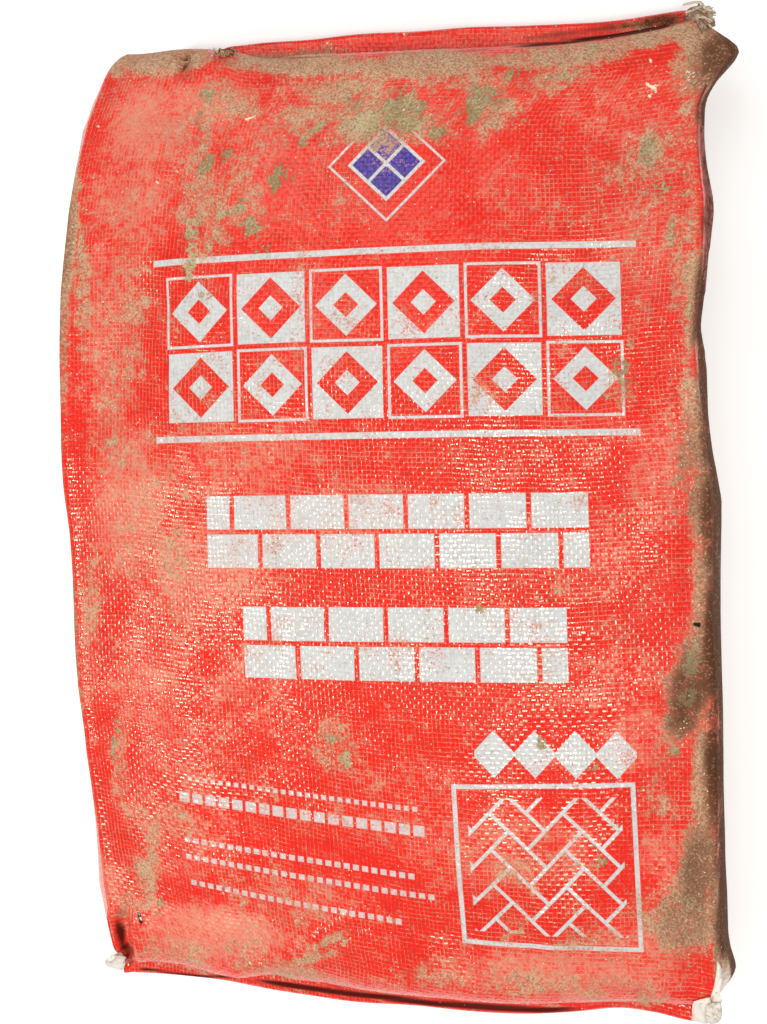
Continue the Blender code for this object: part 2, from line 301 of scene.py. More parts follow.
def simulated(rings):
    """The cloth tube filled out by pressure, between the floor and a lid shaped like the powder."""
    rest = rest_tube(rings)
    rows, columns, _ = rings.shape
    cloth_piece = mesh_object("cloth_run", rings.reshape(-1, 3), grid_faces(rows, columns, True))
    cloth_piece.shape_key_add(name="Basis")
    key = cloth_piece.shape_key_add(name="rest")
    key.data.foreach_set("co", rest.reshape(-1))
    pins = cloth_piece.vertex_groups.new(name="pins")
    ends = np.concatenate([np.arange(columns), np.arange(columns) + (rows - 1) * columns])
    pins.add([int(i) for i in ends], 1.0, "REPLACE")
    floor = collider("floor_run", [(-1, -1, 0), (1, -1, 0), (1, 1, 0), (-1, 1, 0)], [(0, 1, 2, 3)])
    x, y = np.meshgrid(np.linspace(-LID_HALF_WIDTH, LID_HALF_WIDTH, LID_COLUMNS),
                       np.linspace(-LID_HALF_LENGTH, LID_HALF_LENGTH, LID_ROWS))
    along = np.clip(y / (HALF_LENGTH - END_RADIUS), -LID_END, LID_END)
    wide = np.clip(x / LID_EDGE, -1, 1)
    z = (FOLD_HEIGHT - FOLD_DROP * along ** 4 + LID_GAP
         + (CROWN - CROWN_DROP * along ** 2) * (1 - np.abs(wide) ** CROWN_POWER))
    lid = collider("lid_run", np.stack([x, y, z], 2).reshape(-1, 3),
                   grid_faces(LID_ROWS, LID_COLUMNS, False)[:, ::-1])
    cloth = cloth_piece.modifiers.new("cloth", "CLOTH")
    for name, value in dict(
        quality=6, mass=0.2, tension_stiffness=30, compression_stiffness=30, shear_stiffness=8,
        bending_stiffness=3.0, tension_damping=10, compression_damping=10, shear_damping=10,
        bending_damping=1.0, air_damping=4, use_pressure=True, uniform_pressure_force=1.0,
        pressure_factor=0.0, fluid_density=0.0, vertex_group_mass="pins", rest_shape_key=key,
    ).items():
        setattr(cloth.settings, name, value)
    cloth.settings.effector_weights.gravity = 0.0
    cloth.collision_settings.distance_min = 0.001
    cloth.point_cache.frame_start, cloth.point_cache.frame_end = 1, FRAMES
    scene = bpy.context.scene
    scene.frame_start, scene.frame_end = 1, FRAMES
    for number in range(1, FRAMES + 1):
        scene.frame_set(number)
    evaluated = cloth_piece.evaluated_get(bpy.context.evaluated_depsgraph_get())
    points = np.empty(rows * columns * 3, np.float32)
    evaluated.data.vertices.foreach_get("co", points)
    for made in (cloth_piece, floor, lid):
        bpy.data.objects.remove(made)
    scene.frame_set(1)
    return points.reshape(rings.shape).astype(float)


def halved(grid, axis, closed):
    """The grid with a point put in between each two, on a smooth curve through its neighbours."""
    g = np.moveaxis(grid, axis, 0)
    if closed:
        before, after, after2 = np.roll(g, 1, 0), np.roll(g, -1, 0), np.roll(g, -2, 0)
        between = (9 * (g + after) - before - after2) / 16
        out = np.stack([g, between], 1).reshape(-1, *g.shape[1:])
    else:
        padded = np.concatenate([[2 * g[0] - g[1]], g, [2 * g[-1] - g[-2]]])
        between = (9 * (padded[1:-2] + padded[2:-1]) - padded[:-3] - padded[3:]) / 16
        out = np.empty((2 * len(g) - 1, *g.shape[1:]))
        out[::2], out[1::2] = g, between
    return np.moveaxis(out, 0, axis)


def smoothed(values, times):
    for _ in range(times):
        padded = np.concatenate([values[:1], values, values[-1:]])
        values = (padded[:-2] + 2 * padded[1:-1] + padded[2:]) / 4
    return values


def fitted_to_photo(grid, layout):
    """The sides moved so that the outline and the right fold fall where the photograph has them."""
    face_n, side_n = layout
    rows, columns, _ = grid.shape
    pixels = to_pixels(grid)
    per_pixel = ((grid - EYE) @ FORWARD) / FOCAL_PIXELS / math.cos(CAMERA_TURN)
    row = np.arange(rows)
    left_from = columns - side_n // 2
    left = np.concatenate([pixels[:, left_from:, 0], pixels[:, :1, 0]], axis=1).argmin(axis=1) + left_from
    right = pixels[:, face_n:face_n + side_n + 1, 0].argmax(axis=1) + face_n
    right = np.round(smoothed(right.astype(float), 4)).astype(int)
    round_bottom = smooth(END_N * 1.3, END_N * 0.5, row)
    round_top = smooth(rows - 1 - END_N * 1.3, rows - 1 - END_N * 0.5, row)
    moves = []
    for column, table, which in ((left % columns, LEFT_EDGE, 0), (0 * row + face_n, RIGHT_FOLD, 1),
                                 (right, RIGHT_EDGE, 1)):
        at = pixels[row, column]
        want = np.interp(at[:, 1], *np.array(table, float).T)
        want += (BOTTOM_HEM_ENDS[which] - want) * round_bottom
        want += (TOP_HEM_ENDS[which] - want) * round_top
        move = (want - at[:, 0]) * per_pixel[row, column]
        moves.append(smoothed(np.clip(move, -MOST_MOVED, MOST_MOVED), 1))
    out = grid.copy()
    for j in range(rows):
        first, fold, edge = (m[j] for m in moves)
        lower_right, lower_left = face_n + side_n, 2 * face_n + side_n
        if right[j] <= face_n + 1:
            fold = edge  # the fold is the outline here
        knots = [0, face_n, max(right[j], face_n + 2), lower_right, lower_left, columns]
        shifts = [first, fold, edge, edge * BACK_SHARE, first * BACK_SHARE, first]
        out[j, :, 0] += np.interp(np.arange(columns), knots, shifts)
    return out


def normals_of(grid):
    around = np.roll(grid, -1, axis=1) - np.roll(grid, 1, axis=1)
    along = np.gradient(grid, axis=0)
    normals = np.cross(around, along)
    return normals / np.maximum(np.linalg.norm(normals, axis=2, keepdims=True), 1e-9)


# A hem's rows: outwards, round its fold and back under it, as far as FLAP_REACH from its root
HEM_STEPS = (0.15, 0.3, 0.45, 0.6, 0.7, 0.8, 0.9)
FOLD_STEPS = 6
UNDER_STEPS = (0.33, 0.67, 1.0)
HEM_ROWS = len(HEM_STEPS) + FOLD_STEPS + 1 + len(UNDER_STEPS)
FLAP_REACH = 0.008


def hem_stations(root, end):
    """The hem's rows: out from the root, round the fold and back underneath."""
    x = root[:, 0] + MIDDLE[0]
    edge = through(TOP_HEM if end > 0 else BOTTOM_HEM, x) - MIDDLE[1]
    offset = root[:, 2] - HEM_HEIGHT
    bend = edge - end * (FOLD_RADIUS + HEM_HALF)
    rows = []
    stations = [(root[:, 1] + (bend - root[:, 1]) * s, 0.0, s) for s in HEM_STEPS]
    stations += [(bend, math.pi * k / FOLD_STEPS, 1.0) for k in range(FOLD_STEPS + 1)]
    flap = root[:, 1] + end * FLAP_REACH
    stations += [(bend + (flap - bend) * s, math.pi, 1.0 - s) for s in UNDER_STEPS]
    for centre, turn, out in stations:
        row = root.copy()
        reach = FOLD_RADIUS + offset
        row[:, 1] = centre + end * reach * math.sin(turn)
        row[:, 2] = HEM_HEIGHT - FOLD_RADIUS + reach * math.cos(turn)
        wave = np.sin(x * 47 + end) * 0.0011 + np.sin(x * 103 + 2 * end) * 0.0005
        row[:, 2] += wave * out
        row[:, 1] += end * np.sin(x * 71 + 3 * end) * 0.0004 * out
        rows.append(row)
    return np.array(rows)


def distance_to(line, pixels):
    """How far pixels lie from a broken line, in pixels, and how far along it the nearest is."""
    best = np.full(pixels.shape[:-1], 1e9)
    share = np.zeros(pixels.shape[:-1])
    pieces = len(line) - 1
    for i, (a, b) in enumerate(zip(line[:-1], line[1:])):
        a, b = np.array(a, float), np.array(b, float)
        t = np.clip(((pixels - a) @ (b - a)) / ((b - a) @ (b - a)), 0, 1)
        d = np.linalg.norm(pixels - (a + t[..., None] * (b - a)), axis=-1)
        nearer = d < best
        best = np.where(nearer, d, best)
        share = np.where(nearer, (i + t) / pieces, share)
    return best, share


# Creases on the face: a line in the photograph's pixels, the height in metres (below zero for a
# valley), and the half width in pixels.
CREASES = (
    (((250, 108), (232, 140), (205, 192)), 0.0010, 9),
    (((208, 975), (290, 957), (332, 930), (380, 905)), 0.0024, 9),
    (((222, 988), (300, 970), (345, 945)), -0.0016, 6),
    (((250, 988), (330, 955), (380, 930), (450, 900)), 0.0018, 10),
    (((640, 985), (668, 990), (690, 1000)), 0.0022, 8),
    (((636, 996), (652, 990)), -0.0022, 5),
    (((188, 50), (185, 66), (180, 82)), -0.0045, 6),
    (((200, 62), (222, 66), (240, 76)), 0.0016, 10),
    (((176, 52), (172, 66), (168, 80)), 0.0012, 7),
    (((119, 908), (124, 938), (130, 968)), -0.0080, 5),
    (((110, 905), (115, 935), (121, 962)), 0.0024, 4),
    (((132, 908), (137, 938), (142, 968)), 0.0028, 6),
    (((120, 850), (138, 880), (150, 905)), -0.0012, 12),
    (((470, 60), (520, 90), (600, 80)), 0.0008, 14),
    (((268, 560), (300, 620), (288, 684), (326, 744)), 0.0017, 8),
    (((205, 690), (250, 700), (268, 742)), 0.0013, 8),
    (((98, 520), (128, 566), (186, 600)), 0.0015, 9),
    (((120, 470), (190, 490), (260, 470)), 0.0007, 12),
    (((520, 560), (560, 640), (650, 610)), 0.0012, 12),
    (((470, 700), (560, 715), (660, 690)), 0.0007, 12),
    (((660, 100), (690, 180), (688, 260)), -0.0012, 14),
    (((700, 480), (690, 560), (704, 640)), -0.0010, 14),
)


# Corners drawn out: the pixel, the move in metres, and how far round it the cloth follows, in pixels
CORNER_PULLS = (((122, 66), (0.0, 0.0026), 15), ((731, 52), (0.0018, 0.0), 12))


def corners_drawn(grid):
    pixels = to_pixels(grid)
    out = grid.copy()
    for corner, move, reach in CORNER_PULLS:
        near = np.exp(-(np.linalg.norm(pixels - np.array(corner, float), axis=2) / reach) ** 2)
        out[:, :, :2] += near[:, :, None] * np.array(move)
    return out


# The heights of the face's slow waves and of the ridge along a pressed fold, which falls off
# over so many points of the grid
WAVE_HEIGHT = 0.0009
RIDGE_HEIGHT, RIDGE_POINTS = 0.0016, 1.1


def creased(grid):
    """The face with its creases and its slow waves."""
    pixels = to_pixels(grid)
    normals = normals_of(grid)
    up = smooth(0.0, 0.35, normals[:, :, 2])
    raise_by = np.zeros(grid.shape[:2])
    for line, height, half in CREASES:
        d, share = distance_to(line, pixels)
        taper = smooth(0.0, 0.22, share) * smooth(1.0, 0.72, share)
        raise_by += height * np.exp(-(d / half) ** 2) * taper * up
    x, y = grid[:, :, 0], grid[:, :, 1]
    slow = (np.sin(x * 31 + 1.3 + 2 * np.sin(y * 9)) * np.sin(y * 23 + 0.4 + 1.5 * np.sin(x * 14))
            + 0.6 * np.sin(x * 57 + y * 21 + 0.8) * np.sin(y * 49 - x * 17 + 2.1))
    raise_by += WAVE_HEIGHT * slow * up
    row = np.arange(len(grid))
    calm_ends = smooth(0, 6, np.minimum(row, len(grid) - 1 - row))
    return grid + normals * (raise_by * calm_ends[:, None])[:, :, None]


def folds_sharpened(grid, columns):
    """A low ridge along the pressed folds between the panels and the sides."""
    normals = normals_of(grid)
    around = np.arange(grid.shape[1])
    ridge = np.zeros(grid.shape[1])
    for fold in columns:
        near = np.minimum(np.abs(around - fold), grid.shape[1] - np.abs(around - fold))
        ridge += np.exp(-(near / RIDGE_POINTS) ** 2)
    wander = 0.75 + 0.25 * np.sin(grid[:, :, 1] * 37 + grid[:, :, 0] * 11)
    inside = smooth(0.29, 0.25, np.abs(grid[:, :, 1]))
    return grid + normals * (RIDGE_HEIGHT * ridge[None, :] * wander * inside)[:, :, None]


def build_sack():
    rings = sack_rings()
    shape = simulated(rings)
    fine = halved(halved(shape, 0, False), 1, True)
    face_n, side_n = 2 * FACE_N, 2 * SIDE_N
    folds = (0, face_n, face_n + side_n, 2 * face_n + side_n)
    fine = folds_sharpened(fine, folds)
    fine = corners_drawn(fitted_to_photo(fine, (face_n, side_n)))
    fine = creased(fine)
    top = hem_stations(fine[-1], 1)
    bottom = hem_stations(fine[0], -1)[::-1]
    grid = np.concatenate([bottom, fine, top])
    rows, columns, _ = grid.shape
    faces = grid_faces(rows, columns, True).tolist()
    middle_left = 2 * face_n + side_n + side_n // 2
    for row, order in ((0, -1), (rows - 1, 1)):
        one = [(middle_left + k) % columns + row * columns for k in range(columns // 2 + 1)]
        other = [(middle_left - k) % columns + row * columns for k in range(columns // 2 + 1)]
        for k in range(columns // 2):
            quad = [one[k], one[k + 1], other[k + 1], other[k]]
            quad = [v for i, v in enumerate(quad) if v != quad[i - 1]]
            faces.append(quad[::-order])
    sack = mesh_object("sack_cloth", grid.reshape(-1, 3), faces)
    sack.data.shade_smooth()
    return sack, grid, (face_n, side_n)


def cloth_places(grid, layout):
    """Each point's place in the cloth in metres: round the tube from the face's middle, and along."""
    face_n, side_n = layout
    rows, columns, _ = grid.shape
    tapes = round((2 * PANEL_CLOTH + 2 * SIDE_PATH) / TAPE / 2) * 2
    girth = tapes * TAPE
    panel = (girth - 2 * SIDE_PATH) / 2
    steps = np.concatenate([np.full(face_n, panel / face_n), np.full(side_n, SIDE_PATH / side_n),
                            np.full(face_n, panel / face_n), np.full(side_n, SIDE_PATH / side_n)])
    s = np.concatenate([[0], np.cumsum(steps)[:-1]]) - panel / 2
    along = np.linalg.norm(np.diff(grid[:, face_n // 4:3 * face_n // 4], axis=0), axis=2).mean(axis=1)
    t = np.concatenate([[0], np.cumsum(along)])
    t -= t[rows // 2]
    return s, t, girth, panel


def slope_field(x, y):
    """How steeply the print and the tapes run down to the right, at places on the face."""
    lower_left = smooth(-0.08, -0.17, y) * (1 - smooth(-0.02, 0.08, x))
    return 0.018 + 0.10 * lower_left + 0.045 * smooth(-0.16, -0.26, y)


# Where across the face the print isn't shifted, and the places that its slopes are summed at
LEVEL_X = 0.06
WARP_XS = np.linspace(-0.25, 0.25, 101)
WARP_YS = np.linspace(-0.33, 0.33, 133)


def warp_at(x, y):
    """How much higher than y a point lies in the print, from the slopes summed across the face."""
    xs, ys = WARP_XS, WARP_YS
    slopes = slope_field(xs[None, :], ys[:, None])
    steps = (slopes[:, 1:] + slopes[:, :-1]) / 2 * (xs[1] - xs[0])
    table = np.concatenate([np.zeros((len(ys), 1)), np.cumsum(steps, axis=1)], axis=1)
    table = table - np.array([np.interp(LEVEL_X, xs, row) for row in table])[:, None]
    i = np.clip((x - xs[0]) / (xs[1] - xs[0]), 0, len(xs) - 1.001)
    j = np.clip((y - ys[0]) / (ys[1] - ys[0]), 0, len(ys) - 1.001)
    i0, j0 = i.astype(int), j.astype(int)
    a, b = i - i0, j - j0
    return ((1 - b) * ((1 - a) * table[j0, i0] + a * table[j0, i0 + 1])
            + b * ((1 - a) * table[j0 + 1, i0] + a * table[j0 + 1, i0 + 1]))


# Dirt, painted shade and a painted sheen, as soft ovals in the photograph's pixels: centre, half width,
# half height, turn in degrees (left out where it is none), strength.
DUST = (
    (162, 58, 60, 17, -3, 1.0), (117, 64, 15, 16, -40, 0.85), (300, 65, 110, 13, 0.85),
    (225, 78, 20, 10, 20, 0.5), (148, 76, 10, 8, 0.5), (190, 80, 8, 16, 0.45),
    (430, 64, 90, 15, -3, 1.0), (560, 56, 90, 15, -5, 0.85), (640, 40, 60, 12, -12, 0.9),
    (650, 23, 44, 7, -8, 0.75), (705, 62, 34, 40, 20, 1.1), (700, 38, 26, 14, 20, 1.1),
    (690, 110, 14, 60, 0.6), (650, 150, 16, 26, 10, 0.9), (640, 168, 52, 26, -10, 0.5),
    (668, 140, 26, 12, -20, 0.55), (655, 195, 30, 16, 0.45), (640, 215, 26, 40, 0.35),
    (690, 200, 12, 60, 0.6), (693, 300, 12, 70, 4, 0.8), (672, 230, 10, 24, 0.6),
    (676, 285, 8, 40, 0.55), (700, 430, 20, 60, -6, 0.9), (706, 510, 22, 70, 1.0),
    (708, 610, 20, 110, 1.0), (690, 690, 28, 56, 14, 1.0), (708, 770, 18, 90, 1.0),
    (668, 755, 22, 30, 0.6), (655, 800, 22, 20, 0.5), (698, 870, 26, 56, 8, 1.05),
    (684, 918, 36, 46, 1.05), (714, 900, 5, 70, 1.0), (205, 108, 34, 22, 0.42), (650, 905, 26, 30, 0.6),
    (620, 800, 24, 24, 0.35), (690, 470, 20, 50, 0.62), (672, 500, 18, 30, 0.45),
    (700, 650, 18, 60, 0.8), (205, 130, 9, 60, 4, 0.72), (230, 100, 40, 26, 0.6),
    (160, 130, 40, 40, 0.35), (225, 200, 60, 60, 0.55), (290, 125, 60, 30, -30, 0.5),
    (340, 92, 60, 16, 0.68), (380, 118, 60, 34, 0.78), (488, 106, 40, 34, 0.78),
    (440, 132, 26, 20, 0.66), (540, 80, 60, 20, -6, 0.6), (470, 80, 60, 12, -4, 0.6),
    (120, 300, 30, 120, 0.36), (110, 420, 30, 110, 0.36), (190, 460, 70, 50, 0.3),
    (150, 560, 60, 80, 0.3), (335, 745, 30, 40, 0.45), (120, 750, 12, 60, 0.6), (92, 620, 12, 80, 0.5),
    (82, 300, 10, 120, 0.5), (68, 255, 8, 110, 6, 0.95), (64, 350, 7, 120, 0.72),
    (75, 650, 6, 110, -4, 0.75), (122, 60, 16, 8, -10, 1.0), (154, 842, 13, 34, 8, 0.62),
    (147, 880, 15, 34, -6, 0.68), (130, 905, 14, 16, 0.7), (170, 820, 50, 30, 0.4),
    (220, 955, 90, 24, 6, 0.55), (270, 968, 70, 10, 8, 0.7), (330, 940, 28, 5, -27, 0.75),
    (300, 962, 44, 7, -12, 0.6), (560, 985, 110, 16, 2, 0.55), (450, 975, 90, 20, 4, 0.4),
    (600, 940, 60, 16, 4, 0.42), (650, 1000, 20, 10, 0.5), (530, 870, 50, 30, 0.34),
    (620, 380, 20, 34, -20, 0.5), (290, 890, 90, 40, 0.3), (722, 945, 12, 40, 1.0),
    (716, 1000, 10, 16, 0.2),
)
MUD = (
    (402, 110, 26, 19, -6, 1.0), (368, 122, 22, 16, -20, 0.86), (352, 104, 12, 12, 0.6),
    (408, 124, 18, 10, 1.0), (436, 134, 12, 10, 0.66), (474, 106, 10, 24, 4, 1.0),
    (488, 96, 20, 13, 14, 0.78), (511, 76, 10, 10, 0.66), (558, 76, 14, 8, -10, 0.5),
    (207, 94, 8, 8, 0.86), (199, 120, 4, 26, 3, 0.6), (206, 164, 16, 7, -50, 0.9),
    (228, 152, 16, 6, -48, 0.66), (276, 178, 8, 18, 18, 0.92), (292, 182, 4, 10, 20, 0.7),
    (318, 128, 22, 5, -42, 0.86), (302, 144, 5, 7, 0.8), (252, 226, 11, 13, 10, 0.92),
    (240, 206, 8, 10, 0.7), (192, 228, 9, 14, 0.92), (190, 262, 7, 26, 4, 0.86), (202, 290, 6, 12, 0.6),
    (222, 216, 7, 8, 0.66), (262, 250, 10, 7, 0.6), (212, 244, 5, 10, 20, 0.6),
    (594, 50, 10, 8, -20, 0.6), (648, 150, 9, 16, 10, 0.86), (660, 188, 14, 7, -10, 0.72),
    (672, 232, 5, 12, 0.7), (688, 300, 5, 22, 4, 0.72), (622, 372, 10, 20, -16, 0.66),
    (628, 342, 7, 10, 0.5), (614, 400, 8, 6, 0.5), (480, 606, 5, 9, 0.9), (486, 612, 7, 3, 0.8),
    (332, 740, 9, 6, 0.76), (347, 760, 9, 9, 30, 0.84), (541, 742, 5, 12, 0.8), (590, 768, 10, 5, 0.6),
    (600, 862, 6, 8, 0.9), (588, 846, 8, 5, 0.66), (522, 932, 14, 4, 12, 0.8),
    (692, 662, 9, 26, 8, 0.86), (688, 700, 13, 14, 0.7), (672, 752, 8, 8, 0.62),
    (640, 790, 12, 5, 20, 0.5), (114, 742, 3, 24, 3, 0.86), (86, 590, 3, 18, 0.66),
    (345, 942, 22, 3, -27, 0.6), (694, 905, 12, 10, 0.5), (612, 960, 10, 4, 0.5), (458, 598, 5, 5, 0.6),
    (428, 622, 3, 3, 0.7), (160, 905, 5, 12, 0.6),
)
# The pale film of powder; the two patches round (250, 690) and (610, 690) are a painted sheen
FILM_AND_SHEEN_PATCHES = (
    (110, 330, 36, 150, 0.56), (130, 500, 46, 90, 0.72), (200, 570, 80, 60, 0.6),
    (250, 690, 60, 50, 0.42), (610, 690, 70, 50, 0.36), (150, 125, 50, 50, 0.8),
    (200, 105, 60, 30, 0.75), (640, 950, 60, 36, 0.6), (240, 455, 90, 50, 0.5),
    (340, 520, 120, 50, 0.42), (130, 190, 50, 80, 0.6), (230, 160, 90, 80, 0.45),
    (600, 560, 60, 50, 0.35), (640, 740, 50, 40, 0.5), (560, 975, 130, 30, 2, 0.75),
    (500, 850, 120, 50, 0.45), (300, 900, 80, 30, 0.45), (215, 935, 90, 36, 6, 0.82),
    (180, 770, 60, 60, 0.35), (150, 680, 50, 60, 0.45), (640, 240, 50, 60, 0.5),
    (620, 110, 70, 50, 0.42), (660, 470, 40, 70, 0.5), (400, 800, 90, 60, 0.3), (600, 430, 80, 30, 0.3),
    (90, 640, 12, 80, 0.4), (520, 200, 60, 60, 0.25), (330, 330, 180, 80, 0.2),
    (440, 990, 200, 14, 3, 0.3), (670, 860, 40, 40, 0.5), (106, 884, 22, 34, 0.62),
    (190, 840, 60, 50, 0.42),
)
# Stains, and mostly painted shade: the right side in shadow, the ear, the top hem's right end, the lower
# left creases and the left edge
STAINS_AND_PAINTED_SHADE = (
    (702, 120, 7, 50, 0.9), (709, 215, 9, 40, 8, 1.0), (700, 300, 8, 60, 4, 0.9),
    (702, 360, 7, 30, 0.9), (707, 430, 7, 50, -5, 0.9), (712, 520, 16, 70, 0.9),
    (714, 640, 14, 90, 1.0), (716, 760, 14, 100, 1.0), (722, 850, 8, 60, 0.9), (721, 925, 7, 40, 0.85),
    (728, 945, 8, 24, 20, 0.8), (716, 56, 22, 40, 24, 0.8), (690, 690, 26, 60, 12, 0.85),
    (699, 875, 24, 60, 0.62), (684, 920, 34, 40, 0.45), (700, 110, 8, 30, 0.6),
    (121, 926, 5, 17, -8, 1.2), (126, 948, 7, 18, -14, 1.2), (187, 62, 4, 14, 10, 0.7),
    (66, 250, 6, 60, 6, 0.5), (62, 340, 5, 60, 0.4), (74, 640, 4, 60, 0.4), (560, 34, 50, 4, -6, 0.9),
    (610, 28, 44, 5, -7, 1.0), (662, 20, 34, 7, -8, 1.2), (560, 36, 40, 3, -6, 0.7),
    (300, 51, 70, 3, -4, 0.45), (660, 760, 30, 30, 0.4), (690, 480, 20, 60, 0.5),
)
CRUSTED = (
    (408, 108, 16, 6, 1.0), (650, 61, 5, 6, 1.0), (652, 87, 8, 9, 1.15), (694, 78, 12, 20, 0.85),
    (690, 45, 24, 20, 0.5), (332, 45, 16, 8, -5, 0.85), (291, 53, 5, 4, 0.7), (404, 34, 5, 5, 0.9),
    (320, 124, 14, 4, -42, 0.6), (250, 963, 30, 5, 0.75), (142, 66, 24, 12, 0.55),
    (140, 919, 3, 4, 0.9), (655, 170, 20, 40, 0.42), (690, 230, 10, 60, 0.42), (300, 70, 150, 16, 0.3),
)
# Painted shadows in the gaps between the stuffed ends and their hems, as lines in the photograph's
# pixels: half width, strength.
GAP_SHADOWS = (
    (((240, 59), (340, 57), (440, 53), (530, 46)), 1.5, 0.5),
    (((490, 49), (560, 43), (610, 37), (650, 30), (686, 23)), 2.0, 1.1),
    (((128, 966), (150, 970), (200, 976), (244, 978)), 1.5, 0.9),
    (((232, 977), (280, 984), (340, 992), (430, 1003), (500, 1008), (545, 1010), (612, 1008)), 2.8, 1.2),
    (((640, 1008), (664, 1012), (690, 1014)), 1.5, 0.4),
)
# The shadows in two tucks at the corners, given in the same way
TUCK_SHADOWS = (
    (((116, 908), (120, 928), (124, 944), (130, 968)), 2.0, 0.9),
    (((188, 50), (186, 62), (182, 76)), 2.6, 0.6),
)
# Where the cloth is bare of ink
BARE = (
    (723, 975, 7, 18, 1.0), (716, 1003, 6, 20, 1.0), (702, 1018, 12, 9, -10, 1.0), (689, 14, 5, 9, 1.0),
    (698, 12, 6, 14, 1.0),
)
# Small marks, each a line in the photograph's pixels and its half width
HOLES = (((695, 624), (699, 625), 2.6), ((139, 914), (141, 922), 2.6))
# a painted shadow line under the lower edge of the top right ear
EAR_EDGE_SHADOWS = (((706, 86), (698, 106), 1.3),)
PALE_BITS = (((246, 120), (256, 116), 0.7), ((140, 918), (141, 920), 1.1), ((650, 60), (651, 62), 1.4),
             ((647, 84), (649, 86), 1.6), ((652, 87), (655, 88), 2.0), ((656, 91), (656, 92), 1.1),
             ((649, 96), (650, 97), 1.1), ((404, 33), (405, 35), 1.1), ((177, 171), (178, 172), 0.9),
             ((157, 182), (158, 183), 0.9), ((98, 125), (99, 127), 0.7))


def painted(patches, pixels):
    """The strongest of the soft ovals at each pixel."""
    best = np.zeros(pixels.shape[:-1])
    for cx, cy, rx, ry, *turn, strength in patches:
        turn = math.radians(turn[0]) if turn else 0.0
        c, s = math.cos(turn), math.sin(turn)
        dx, dy = pixels[..., 0] - cx, pixels[..., 1] - cy
        r = np.hypot((c * dx + s * dy) / rx, (c * dy - s * dx) / ry)
        best = np.maximum(best, strength * smooth(1.45, 0.35, r))
    return best


def ruled(lines, pixels):
    """The strongest of the soft lines at each pixel, each fading towards its ends."""
    best = np.zeros(pixels.shape[:-1])
    for line, half, strength in lines:
        far, share = distance_to(line, pixels)
        taper = smooth(0.0, 0.2, share) * smooth(1.0, 0.8, share)
        best = np.maximum(best, strength * taper * np.exp(-(far / half) ** 2))
    return best


